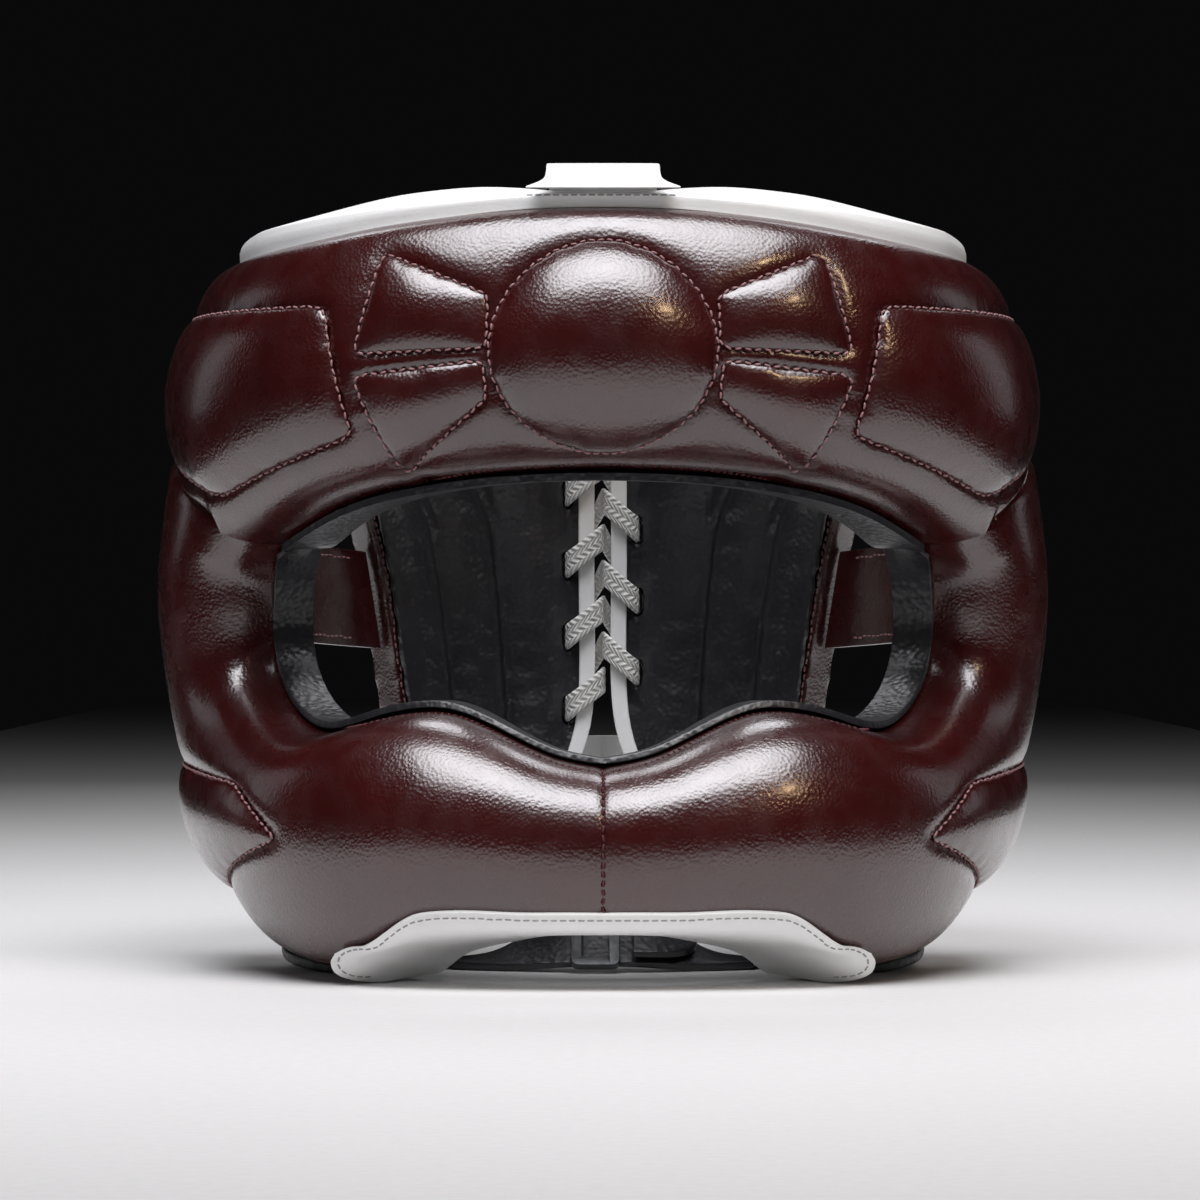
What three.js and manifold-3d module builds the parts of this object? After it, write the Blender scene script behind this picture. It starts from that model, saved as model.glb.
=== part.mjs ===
// Boxing headgear with a face bar: padded leather panels sewn round an open head cavity.
// Millimetres, +Z up, the wearer faces -Y. It stands on z = 0 on its chin flaps and its nape.
import * as THREE from "three";
import { mergeVertices } from "three/addons/utils/BufferGeometryUtils.js";
import Module from "manifold-3d";

const wasm = await Module();
wasm.setup();

// Driving dimensions
const FORM_Y = 6; // the head's own axis sits this far behind the middle of the object
const GAP = 0.5; // clearance between neighbouring pieces
const SEAM_GAP = 1; // clearance of the forehead above the face panels at the temple seam
const TEMPLE_BEND = 0.6; // below 1 it bows the temple seam upwards
const LEATHER = 2; // a leather sheet with its backing
const FACE_LIFT = 3.4; // a padded panel's inner face above the head form
const REAR_LIFT = 7; // the same at the back, where the lining is ribbed
const CROWN_POWER = 2.6; // fullness of a padded panel's section
const HOLE_PITCH = 10.5; // lace holes climb by this much, left and right in turn
const HOLE_COUNT = 11;
const FIRST_HOLE_Z = 66;
const HOLE_X = 10.4;
const LACE_WIDTH = 7;
const LACE_THICK = 1.5;
const LACE_INSIDE = -0.2; // the lace's middle above the head form, on the head side
const LACE_OUTSIDE = 21; // and on the outer side
const LACE_DROP = 8.5; // from the gap in the middle down to the hole
const TRIM_FOOT = 1; // rear lining and bindings stop this far above the floor
const FACE_FACETS = 8; // facets across a padded panel's face
const RIB_STEPS = 3; // facets across one rib of the rear lining
const RIB_MARGIN = 7; // flat margin of the rear lining at the laced edge

// Head form: the hollow that the lining follows, one row for each level
const HEAD_RINGS = [
  { z: 0, half: 67, front: 98, back: 86 },
  { z: 20, half: 71, front: 103, back: 89 },
  { z: 40, half: 75, front: 104, back: 93 },
  { z: 60, half: 79, front: 97, back: 97 },
  { z: 80, half: 81, front: 87, back: 99 },
  { z: 100, half: 82, front: 82, back: 100 },
  { z: 130, half: 81, front: 80, back: 100 },
  { z: 160, half: 78, front: 81, back: 98 },
  { z: 185, half: 73, front: 77, back: 93 },
  { z: 210, half: 66, front: 68, back: 84 },
];
const SQUARENESS = 0.3; // how far the front corners of the hollow fill out beyond an ellipse

// Forehead band, one row for each turn from the middle of the brow towards the ear.
// It runs from the eye opening (low) up to the crown edge (top); beside the ear it sits on the temple seam.
// facing: thickness of the white cap on its top edge.
const FOREHEAD = [
  { turn: 0, lowZ: 131.5, topZ: 199.5, thick: 33, lowEdge: 15, topEdge: 25, rise: 1.5, facing: 2.4 },
  { turn: 13, lowZ: 131, topZ: 199.2, thick: 33, lowEdge: 15, topEdge: 25, rise: 2.8, facing: 2.4 },
  { turn: 25, lowZ: 129.5, topZ: 197.4, thick: 34, lowEdge: 15, topEdge: 25.5, rise: 5.6, facing: 2.8 },
  { turn: 41, lowZ: 125.4, topZ: 194, thick: 36.5, lowEdge: 15, topEdge: 27, rise: 6.8, facing: 4.2 },
  { turn: 52, lowZ: 120, topZ: 191, thick: 38, lowEdge: 15, topEdge: 28, rise: 8, facing: 5.4 },
  { turn: 63, lowZ: 112.5, topZ: 189.5, thick: 38, lowEdge: 19, topEdge: 28, rise: 8, facing: 5.8 },
  { turn: 69, lowZ: 122, topZ: 189, thick: 37.6, lowEdge: 33, topEdge: 27.8, rise: 8, facing: 5.4 },
  { turn: 75, lowZ: 128, topZ: 188.5, thick: 37.4, lowEdge: 35.4, topEdge: 27.5, rise: 8, facing: 5 },
  { turn: 90, lowZ: 139, topZ: 188, thick: 36.5, lowEdge: 34.4, topEdge: 26, rise: 7, facing: 4 },
  { turn: 104, lowZ: 147, topZ: 187, thick: 31, lowEdge: 22, topEdge: 23, rise: 5, facing: 3 },
];

// Face panel, half of the face bar with the cheek and jaw, one row for each section across it.
// a: on the rim of the eye opening. b: on the chin rim, then the jaw edge, then the ear edge.
const FACE = [
  { station: 0, aTurn: 0.15, aZ: 55.5, bTurn: 0.15, bZ: 15.7, thick: 30.5, aEdge: 13, bEdge: 26, rise: 0.5 },
  { station: 1, aTurn: 9, aZ: 58, bTurn: 9, bZ: 15.7, thick: 31.5, aEdge: 13, bEdge: 26, rise: 1 },
  { station: 2, aTurn: 19, aZ: 65.5, bTurn: 20.5, bZ: 15.2, thick: 33, aEdge: 13.5, bEdge: 26, rise: 3 },
  { station: 3, aTurn: 27.5, aZ: 70, bTurn: 32, bZ: 12.4, thick: 34.5, aEdge: 14, bEdge: 26, rise: 3.5 },
  { station: 4, aTurn: 38.5, aZ: 68, bTurn: 40.5, bZ: 3.8, thick: 35.5, aEdge: 14, bEdge: 25, rise: 0.5 },
  { station: 5, aTurn: 51.7, aZ: 63, bTurn: 57, bZ: 5.2, thick: 36, aEdge: 14, bEdge: 24, rise: 0 },
  { station: 6, aTurn: 65, aZ: 73, bTurn: 72, bZ: 13, thick: 34.8, aEdge: 13, bEdge: 22, rise: 0 },
  { station: 7, aTurn: 70, aZ: 85, bTurn: 86, bZ: 28, thick: 37, aEdge: 13, bEdge: 21, rise: 0 },
  { station: 8, aTurn: 69.3, aZ: 97, bTurn: 93.5, bZ: 60, thick: 38.8, aEdge: 13, bEdge: 20, rise: 0 },
  { station: 9, aTurn: 67.7, aZ: 106, bTurn: 96, bZ: 100, thick: 39.9, aEdge: 13.5, bEdge: 21, rise: 0 },
  { station: 10, aTurn: 64, aZ: 111.3, bTurn: 98, bZ: 143, thick: 37.8, aEdge: 15, bEdge: 23, rise: 0 },
];

// Rear panel, one row for each section from the nape up.
// a: on the edge behind the ear. b: on the laced edge, which flares apart at the nape.
const REAR = [
  { station: 0, aTurn: 143, aZ: 0, bTurn: 157, bZ: 0, thick: 15, aEdge: 13, bEdge: 11 },
  { station: 1, aTurn: 142, aZ: 20, bTurn: 163.5, bZ: 22, thick: 18, aEdge: 15, bEdge: 11 },
  { station: 2, aTurn: 140.5, aZ: 42, bTurn: 171, bZ: 43, thick: 20, aEdge: 17, bEdge: 11 },
  { station: 3, aTurn: 139.3, aZ: 64, bTurn: 177, bZ: 62, thick: 21, aEdge: 18, bEdge: 11 },
  { station: 4, aTurn: 137, aZ: 92, bTurn: 177, bZ: 90, thick: 21.5, aEdge: 18, bEdge: 11 },
  { station: 5, aTurn: 133, aZ: 121, bTurn: 177, bZ: 119, thick: 21.5, aEdge: 18, bEdge: 11 },
  { station: 6, aTurn: 120, aZ: 138.5, bTurn: 177, bZ: 143, thick: 21.5, aEdge: 17, bEdge: 11 },
  { station: 7, aTurn: 108, aZ: 150, bTurn: 177, bZ: 163, thick: 22, aEdge: 17, bEdge: 11 },
  { station: 8, aTurn: 104.8, aZ: 187, bTurn: 177, bZ: 187, thick: 21, aEdge: 17, bEdge: 11 },
];

// Sewn pads on the forehead: corners as turn in degrees and height, and how far the crest rises
const BROW_PADS = [
  {
    name: "bow_pad_upper",
    crest: 3.2,
    corners: [[35, 187], [18.6, 175.6], [18.4, 162], [37, 160.8]],
  },
  {
    name: "bow_pad_lower",
    crest: 3.2,
    corners: [[37, 155], [18.9, 158.8], [18.2, 149], [31.4, 130]],
  },
  {
    name: "temple_pad",
    crest: 4.7,
    corners: [[42, 173.5], [37.3, 140], [60, 125], [74, 133], [94, 145.5], [94, 173.5]],
  },
];
const ROUND_PAD = { turn: 18.1, high: 27.5, z: 162.5, crest: 9 };
// Jaw pad on the face panel, drawn the same way
const JAW_PAD = {
  crest: 5,
  corners: [[48, 37], [58, 50.5], [82, 54], [92, 54], [92, 27], [78, 19]],
};
const PAD_EDGE = 1.4; // height of a pad at its sewn edge
const PAD_CORNER = 0.05; // share of an edge that rounds off at a corner
const PAD_STEP = 15; // longest step along an outline

// Chin flap under the jaw, front to back: its outer edge rises to the jaw, its inner edge to the strap
const CHIN_FLAP = [
  { y: -57, outX: 72, outZ: 0, inX: 56, inZ: 0.4, thick: 2.4 },
  { y: -50, outX: 80, outZ: 1, inX: 47, inZ: 2.2, thick: 2.8 },
  { y: -38, outX: 85, outZ: 2.6, inX: 36, inZ: 5.5, thick: 3 },
  { y: -26, outX: 86, outZ: 5, inX: 27, inZ: 8, thick: 3 },
  { y: -14, outX: 84, outZ: 7, inX: 22, inZ: 9, thick: 3 },
  { y: -4, outX: 74, outZ: 8, inX: 24, inZ: 9, thick: 3 },
  { y: 3, outX: 56, outZ: 7, inX: 31, inZ: 8.5, thick: 2.6 },
];
const CHIN_FACING = 1.4; // thickness of the white facing on a chin flap

// Chin strap, left to right under the flaps; tilt stands its face up towards the front
const CHIN_STRAP = [
  { x: -40, y: -35, z: 1.5, tilt: 0 },
  { x: -28, y: -40, z: 2.4, tilt: 8 },
  { x: -14, y: -46, z: 7, tilt: 36 },
  { x: 0, y: -48, z: 8.2, tilt: 42 },
  { x: 14, y: -46, z: 7, tilt: 36 },
  { x: 28, y: -40, z: 2.4, tilt: 8 },
  { x: 40, y: -35, z: 1.5, tilt: 0 },
];
const STRAP_WIDTH = 18;
const STRAP_THICK = 2.2;
const BUCKLE = { x: -2, length: 13, width: 25, wire: 3, thick: 2 };

// Tongue behind the flare of the nape, and ear straps across the ear openings
const TONGUE = [
  { z: 3, height: 16.6 },
  { z: 30, height: 20 },
  { z: 58, height: 21.8 },
];
const TONGUE_TURN = 22;
const EAR_STRAP = { frontTopZ: 116, frontLowZ: 88, backTopZ: 112, backLowZ: 84, height: 11 };

// Crown strap over the top of the head, front to back
const CROWN_STRAP = [
  { y: -96, z: 203, half: 20, thick: 0.8 },
  { y: -90, z: 203.4, half: 16, thick: 1.6 },
  { y: -78, z: 206.2, half: 15, thick: 2 },
  { y: -50, z: 211, half: 15, thick: 2 },
  { y: -10, z: 213.5, half: 15, thick: 2 },
  { y: 35, z: 211.5, half: 15, thick: 2 },
  { y: 78, z: 202, half: 15, thick: 2 },
  { y: 98, z: 192.5, half: 15, thick: 2 },
  { y: 112, z: 190.2, half: 15, thick: 1.6 },
];

const material = (color, roughness, metalness = 0) =>
  new THREE.MeshStandardMaterial({ color, roughness, metalness });
const OXBLOOD = material(0x4a1113, 0.28);
const BLACK = material(0x17181a, 0.5);
const WHITE = material(0xe9e9ea, 0.45);
const LACE_WHITE = material(0xd9d9d6, 0.8);
const GUNMETAL = material(0x3a3b3d, 0.35, 1);

const lerp = THREE.MathUtils.lerp;

// A row between the rows of a table, on a cubic curve through them
function rowAt(rows, key, x) {
  const last = rows.length - 1;
  const found = rows.findIndex((row) => row[key] >= x);
  const i = THREE.MathUtils.clamp(found < 0 ? last : found, 1, last) - 1;
  const [before, here, next, after] = [i - 1, i, i + 1, i + 2].map(
    (n) => rows[THREE.MathUtils.clamp(n, 0, last)],
  );
  const span = next[key] - here[key];
  const t = (x - here[key]) / span;
  const made = {};
  for (const column of Object.keys(here)) {
    const slopeHere = (next[column] - before[column]) / (next[key] - before[key]);
    const slopeNext = (after[column] - here[column]) / (after[key] - here[key]);
    made[column] =
      (1 + 2 * t) * (1 - t) ** 2 * here[column] +
      t * (1 - t) ** 2 * span * slopeHere +
      t * t * (3 - 2 * t) * next[column] +
      t * t * (t - 1) * span * slopeNext;
  }
  return made;
}

// A point at a height above the head form; turn 0 is the brow, 90 the right ear, 180 the nape
function skin(turn, z, height) {
  const ring = rowAt(HEAD_RINGS, "z", z);
  const angle = THREE.MathUtils.degToRad(turn);
  const [sin, cos] = [Math.sin(angle), Math.cos(angle)];
  const [reach, square] = cos > 0 ? [ring.front, SQUARENESS] : [ring.back, 0];
  const outward = new THREE.Vector2(
    reach * sin * (1 + square * (sin * sin - 2 * cos * cos)),
    -ring.half * cos,
  ).normalize();
  return new THREE.Vector3(
    ring.half * sin + outward.x * height,
    FORM_Y - reach * cos * (1 + square * sin * sin) + outward.y * height,
    z,
  );
}

// Height of the temple seam, where the forehead sits on the last section of a face panel
const templeEnd = FACE.at(-1);
function templeSeam(turn) {
  const v = (turn - templeEnd.aTurn) / (templeEnd.bTurn - templeEnd.aTurn);
  return lerp(templeEnd.aZ, templeEnd.bZ, Math.max(v, 0) ** TEMPLE_BEND) + SEAM_GAP;
}

// A forehead row in the columns of the other strips
const foreheadRow = (turn) => {
  const row = rowAt(FOREHEAD, "turn", Math.abs(turn));
  const onSeam = Math.abs(turn) >= templeEnd.aTurn;
  return {
    aTurn: turn,
    aZ: onSeam ? templeSeam(Math.abs(turn)) : row.lowZ,
    bTurn: turn,
    bZ: row.topZ,
    thick: row.thick,
    aEdge: row.lowEdge,
    bEdge: row.topEdge,
    rise: row.rise,
    facing: row.facing,
  };
};

// A row part of the way from one to the next
const between = (from, to, share) =>
  Object.fromEntries(Object.keys(from).map((key) => [key, lerp(from[key], to[key], share)]));

// The same row on the other side of the head
const mirrored = (row, side) => ({ ...row, aTurn: row.aTurn * side, bTurn: row.bTurn * side });

// Width across a strip, and a point on it: across in mm from edge a, height above the head form
const stripWidth = (row) =>
  skin(row.aTurn, row.aZ, row.aEdge).distanceTo(skin(row.bTurn, row.bZ, row.bEdge));
function onStrip(row, across, height) {
  const v = across / stripWidth(row);
  const climb = v > 0 ? v ** (row.bend ?? 1) : v;
  return skin(lerp(row.aTurn, row.bTurn, v), lerp(row.aZ, row.bZ, climb), height);
}

// Height of a padded panel's face at v across it, from sewn edge to sewn edge
function padHeight(row, v) {
  const edge = lerp(row.aEdge, row.bEdge, v);
  const full = Math.max(0, 1 - Math.abs(2 * v - 1) ** CROWN_POWER) ** (1 / CROWN_POWER);
  return edge + (row.thick - edge) * full;
}

// count + 1 shares from 0 to 1, closer together at both ends
const edgeShares = (count) =>
  Array.from({ length: count + 1 }, (_, i) => (1 - Math.cos((Math.PI * i) / count)) / 2);
const evenShares = (count) => Array.from({ length: count + 1 }, (_, i) => i / count);

// The same on the facets between those shares
function facetHeight(row, v) {
  const shares = edgeShares(FACE_FACETS);
  const i = THREE.MathUtils.clamp(shares.findIndex((share) => share >= v), 1, FACE_FACETS);
  const [from, to] = shares.slice(i - 1, i + 1);
  return lerp(padHeight(row, from), padHeight(row, to), (v - from) / (to - from));
}

// Section outlines, as [across, height] pairs in order round the section.
// The head side is shared by a panel and its lining; ribs leave a flat margin at the b edge.
function headSide(row, ribs) {
  const width = stripWidth(row) + (row.rise ?? 0);
  if (!ribs) return evenShares(3).map((v) => v * width);
  return [...evenShares(ribs * RIB_STEPS).map((v) => v * (width - RIB_MARGIN)), width];
}
function panelOutline(row, { lift, ribs = 0, grow = 0 }) {
  const width = stripWidth(row);
  const face = edgeShares(FACE_FACETS).map((v) => [
    v * width + grow * Math.sign(2 * v - 1),
    padHeight(row, v) + grow,
  ]);
  const head = headSide(row, ribs).map((across) => [across, lift - grow]);
  return [...face, ...head.reverse()];
}

// A thin lining along the head side of a panel; lip turns it up the a edge where that shows
function liningOutline(row, { lift, ribs = 0, ribDepth = 0, lip = 0 }) {
  const top = lift - GAP;
  const low = top - LEATHER;
  const across = headSide(row, ribs);
  const face = across.map((x) => [x, top]);
  const head = across.map((x, i) => [
    x,
    low - ribDepth * Math.abs(Math.sin((Math.PI * Math.min(i, ribs * RIB_STEPS)) / RIB_STEPS)),
  ]);
  if (ribs) return [...face, ...head.reverse()];
  const lipTop = lerp(top + 0.4, row.aEdge - 1, lip);
  face[0][0] = -1.4 * GAP * lip;
  head[0][0] = -(GAP + LEATHER) * lip;
  const ridge = [[face[0][0], lipTop]];
  const back = [[-(GAP + LEATHER) * lip - 0.2, lipTop]];
  return [...ridge, ...face, ...head.reverse(), ...back];
}

// A folded binding over the b edge; its outer leg lies on the last facets of the panel's face
function bindingOutline(row, { leg, lift, thick }) {
  const width = stripWidth(row);
  const start = (width - leg) / width;
  const shoulder = edgeShares(FACE_FACETS).at(-2);
  const bend = start < shoulder ? shoulder : (start + 1) / 2;
  const [high, low] = [start, bend].map((v) => facetHeight(row, v) + GAP);
  const under = 1.6 * GAP;
  const over = [
    [start * width, high + 0.8 * thick],
    [bend * width + GAP + 0.7 * thick, low + 0.7 * thick],
    [width + under + thick, row.bEdge + GAP],
  ];
  const inner = width + under + (row.rise ?? 0);
  const legTop = lift - LEATHER - 3 * GAP;
  return [
    [start * width, high],
    [bend * width + GAP, low],
    [width + under, row.bEdge + GAP],
    [inner, lift],
    [inner, legTop],
    [inner - GAP - leg, legTop],
    [inner - GAP - leg, legTop - thick],
    [inner + thick, legTop - thick],
    ...over.reverse(),
  ];
}

// The crown facing: a soft white cap on the sloping top of a panel
function facingOutline(row) {
  const width = stripWidth(row) + GAP;
  const inner = width + row.rise;
  const under = [
    [width, row.bEdge + 1.2],
    [inner, FACE_LIFT],
    [inner, 0.6],
  ];
  const over = under.map(([across, height]) => [across + row.facing, height]);
  return [...under, ...over.reverse()];
}

// Signed volume of an indexed mesh, positive where its faces point out
function signedVolume(points, index) {
  let sum = 0;
  for (let i = 0; i < index.length; i += 3) {
    const [a, b, c] = [points[index[i]], points[index[i + 1]], points[index[i + 2]]];
    sum += a.dot(new THREE.Vector3().crossVectors(b, c)) / 6;
  }
  return sum;
}

// Triangles that close a flat outline, the best-shaped ear first, every point used
function capTriangles(outline) {
  const area = (...corners) => THREE.ShapeUtils.area(corners.map((n) => outline[n]));
  const turn = Math.sign(THREE.ShapeUtils.area(outline));
  const left = outline.map((_, n) => n);
  const made = [];
  const covers = (a, b, c) => (n) =>
    n !== a &&
    n !== b &&
    n !== c &&
    Math.min(turn * area(a, b, n), turn * area(b, c, n), turn * area(c, a, n)) > -1e-9;
  while (left.length > 3) {
    const ears = left.map((b, k) => {
      const [a, c] = [left.at(k - 1), left[(k + 1) % left.length]];
      const size = turn * area(a, b, c);
      const blocked = size < 1e-9 || left.some(covers(a, b, c));
      const longest = Math.max(
        outline[a].distanceToSquared(outline[c]),
        outline[a].distanceToSquared(outline[b]),
        outline[b].distanceToSquared(outline[c]),
      );
      return { a, b, c, k, fit: blocked ? -1 : size / longest };
    });
    const ear = ears.reduce((best, one) => (one.fit > best.fit ? one : best));
    made.push([ear.a, ear.b, ear.c]);
    left.splice(ear.k, 1);
  }
  made.push(left);
  return made;
}

// A closed solid through sections of equal count; flats are the end sections' flat outlines
function loft(sections, flats) {
  const count = sections[0].length;
  const points = sections.flat();
  const index = [];
  for (let s = 0; s + 1 < sections.length; s++)
    for (let i = 0; i < count; i++) {
      const j = (i + 1) % count;
      const [a, b, c, d] = [s * count + i, s * count + j, (s + 1) * count + j, (s + 1) * count + i];
      index.push(a, b, c, a, c, d);
    }
  const caps = flats.map((flat) => capTriangles(flat.map(([x, y]) => new THREE.Vector2(x, y))));
  for (const [a, b, c] of caps[0]) index.push(a, c, b);
  const end = points.length - count;
  for (const [a, b, c] of caps.at(-1)) index.push(end + a, end + b, end + c);
  if (signedVolume(points, index) < 0) index.reverse();
  const geometry = new THREE.BufferGeometry().setFromPoints(points);
  return geometry.setIndex(index);
}

// A strip lofted along its rows, with the outline that shape gives for each row
function strip(rows, shape) {
  const flats = rows.map(shape);
  const sections = rows.map((row, i) =>
    flats[i].map(([across, height]) => onStrip(row, across, height)),
  );
  return loft(sections, [flats[0], flats.at(-1)]);
}

// Boolean cuts on closed geometries
function solidOf(geometry) {
  const bare = geometry.clone();
  bare.deleteAttribute("normal");
  bare.deleteAttribute("uv");
  const merged = mergeVertices(bare, 1e-4);
  return new wasm.Manifold(
    new wasm.Mesh({
      numProp: 3,
      vertProperties: merged.attributes.position.array,
      triVerts: new Uint32Array(merged.index.array),
    }),
  );
}
function geometryOf(solid) {
  const mesh = solid.getMesh();
  const position = new THREE.BufferAttribute(mesh.vertProperties, 3);
  return new THREE.BufferGeometry()
    .setAttribute("position", position)
    .setIndex(new THREE.BufferAttribute(mesh.triVerts, 1));
}
const cut = (geometry, ...tools) =>
  geometryOf(tools.reduce((left, tool) => left.subtract(solidOf(tool)), solidOf(geometry)));

const headgear = new THREE.Group();
function add(name, geometry, finish) {
  geometry.computeVertexNormals();
  const mesh = new THREE.Mesh(geometry, finish);
  mesh.name = name;
  headgear.add(mesh);
}

const SIDES = [
  ["left", -1],
  ["right", 1],
];
const stations = (rows, steps) => evenShares(steps).map((s) => s * (rows.length - 1));
const faceRow = (station) => ({
  ...rowAt(FACE, "station", station),
  bend: lerp(1, TEMPLE_BEND, THREE.MathUtils.clamp(station - templeEnd.station + 1, 0, 1)),
});
const faceRows = (side, steps = 20) => stations(FACE, steps).map((x) => mirrored(faceRow(x), side));
const rearRows = (side, steps = 11) =>
  stations(REAR, steps).map((x) => mirrored(rowAt(REAR, "station", x), side));

// Forehead band, its lining and the white facing of the crown edge
const END_TURN = FOREHEAD.at(-1).turn;
const seamTurns = edgeShares(FACE_FACETS).map((v) => lerp(templeEnd.aTurn, templeEnd.bTurn, v));
const sideTurns = [...evenShares(6).map((s) => 60 * s), ...seamTurns, END_TURN];
const bandTurns = [...sideTurns.slice(1).toReversed().map((turn) => -turn), ...sideTurns];
const bandRows = bandTurns.map(foreheadRow);
const inFace = { lift: FACE_LIFT };
const inFaceGrown = { lift: FACE_LIFT, grow: GAP };
const browLip = (turn) => THREE.MathUtils.clamp((templeEnd.aTurn - Math.abs(turn)) / 3, 0, 1);
add("forehead_panel", strip(bandRows, (row) => panelOutline(row, inFace)), OXBLOOD);
add(
  "forehead_lining",
  strip(bandRows, (row) => liningOutline(row, { lift: FACE_LIFT, lip: browLip(row.aTurn) })),
  BLACK,
);
add("crown_facing_front", strip(bandRows, facingOutline), WHITE);

// A sewn pad: rings of one outline, crowned above a panel's face and cut to sit on it
function sewnPad(outline, crest, faceHeight, panelSolid) {
  const middle = outline
    .reduce((sum, p) => sum.add(p), new THREE.Vector2())
    .divideScalar(outline.length);
  const ring = (share, raise) =>
    outline.map((p) => {
      const at = middle.clone().lerp(p, share);
      return skin(at.x, at.y, faceHeight(at) + raise);
    });
  const crown = (share) => PAD_EDGE + (crest - PAD_EDGE) * (1 - share ** 2.2) ** 0.5;
  const under = [0.4, 1].map((share) => ring(share, -9));
  const over = [1, 0.9, 0.5].map((share) => ring(share, GAP + crown(share)));
  const flat = outline.map((p) => [p.x, p.y]);
  return cut(loft([...under, ...over], [flat, flat]), panelSolid);
}
const foreheadFace = (at) => {
  const row = foreheadRow(at.x);
  return lerp(padHeight(row, (at.y - row.aZ) / (row.bZ - row.aZ)), row.thick, 0.5);
};

// An outline with its corners rounded a little, as points [turn, z] along its edges
function softOutline(corners, side) {
  const at = (i) => new THREE.Vector2(...corners[(i + corners.length) % corners.length]);
  const points = corners.flatMap((_, i) => {
    const [before, here, after] = [at(i - 1), at(i), at(i + 1)];
    const [enter, leave] = [before, after].map((next) => here.clone().lerp(next, PAD_CORNER));
    const end = after.clone().lerp(here, PAD_CORNER);
    const steps = Math.ceil(leave.distanceTo(end) / PAD_STEP);
    const corner = new THREE.QuadraticBezierCurve(enter, here, leave).getPoints(2);
    const edge = new THREE.LineCurve(leave, end).getPoints(steps).slice(1, -1);
    return [...corner, ...edge];
  });
  return points.map((p) => new THREE.Vector2(p.x * side, p.y));
}

// Round pad in the middle of the brow, and the pads either side of it
const roundOutline = new THREE.EllipseCurve(0, ROUND_PAD.z, ROUND_PAD.turn, ROUND_PAD.high)
  .getPoints(22)
  .slice(0, 22);
const foreheadCutter = strip(bandRows, (row) => panelOutline(row, inFaceGrown));
const browPad = (outline, crest) => sewnPad(outline, crest, foreheadFace, foreheadCutter);
add("round_pad", browPad(roundOutline, ROUND_PAD.crest), OXBLOOD);
for (const [where, side] of SIDES)
  for (const { name, corners, crest } of BROW_PADS)
    add(`${name}_${where}`, browPad(softOutline(corners, side), crest), OXBLOOD);

// Height of a solid's outer face above the head form, at a turn and a height
function faceHeightOf(geometry) {
  const mesh = new THREE.Mesh(geometry);
  return (at) => {
    const [start, foot] = [skin(at.x, at.y, 70), skin(at.x, at.y, 0)];
    const ray = new THREE.Raycaster(start, foot.clone().sub(start).normalize());
    const [hit] = ray.intersectObject(mesh);
    return hit ? 70 - hit.distance : 26;
  };
}

// Face panels with their linings, and the jaw pads cut to sit on them
for (const [where, side] of SIDES) {
  const rows = faceRows(side);
  add(`face_panel_${where}`, strip(rows, (row) => panelOutline(row, inFace)), OXBLOOD);
  add(
    `face_lining_${where}`,
    strip(rows, (row) => liningOutline(row, { lift: FACE_LIFT, lip: 1 })),
    BLACK,
  );
  const cutter = strip(rows, (row) => panelOutline(row, inFaceGrown));
  const outline = softOutline(JAW_PAD.corners, side);
  add(`jaw_pad_${where}`, sewnPad(outline, JAW_PAD.crest, faceHeightOf(cutter), cutter), OXBLOOD);
}

// White binding over the chin rim, from one jaw corner through the middle to the other
const RIM_STEPS = 8;
const rimHalf = faceRows(1).slice(0, RIM_STEPS + 1);
const rimRows = [...rimHalf.toReversed().map((row) => mirrored(row, -1)), ...rimHalf];
const rimLeg = ({ station }) =>
  4.2 + 1.8 * Math.sin(Math.PI * THREE.MathUtils.clamp((station - 1.5) / 2.5, 0, 1));
const rimShape = (row) => bindingOutline(row, { leg: rimLeg(row), lift: FACE_LIFT, thick: 1.6 });
add("chin_binding", strip(rimRows, rimShape), WHITE);

// Rear panels with ribbed linings, white bound lace edges and lace holes
const holes = Array.from({ length: HOLE_COUNT }, (_, i) => ({
  side: i % 2 ? 1 : -1,
  z: FIRST_HOLE_Z + i * HOLE_PITCH,
}));
const backAt = (z) => FORM_Y + rowAt(HEAD_RINGS, "z", z).back;
function holeTools(side) {
  return holes
    .filter((hole) => hole.side === side)
    .map((hole) => {
      const tool = new THREE.BoxGeometry(LACE_THICK + 1.4, 60, LACE_WIDTH + 1.2);
      return tool.translate(side * HOLE_X, backAt(hole.z) + 5, hole.z);
    });
}
const inRear = { lift: REAR_LIFT, ribs: 3 };
const RIBS = { lift: REAR_LIFT - GAP, ribDepth: 3.2 };
for (const [where, side] of SIDES) {
  const rows = rearRows(side);
  const raised = [between(rows[0], rows[1], TRIM_FOOT / rows[1].bZ), ...rows.slice(1)];
  const panel = strip(rows, (row) => panelOutline(row, inRear));
  const lining = strip(raised, (row) => liningOutline(row, { ...inRear, ...RIBS }));
  const edge = strip(raised, (row) => bindingOutline(row, { leg: 3.4, lift: REAR_LIFT, thick: 1.6 }));
  add(`rear_panel_${where}`, cut(panel, ...holeTools(side)), OXBLOOD);
  add(`rear_lining_${where}`, cut(lining, ...holeTools(side)), BLACK);
  add(`lace_edge_${where}`, edge, WHITE);
  add(`crown_facing_${where}`, crownFacingRear(side), WHITE);
}

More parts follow.
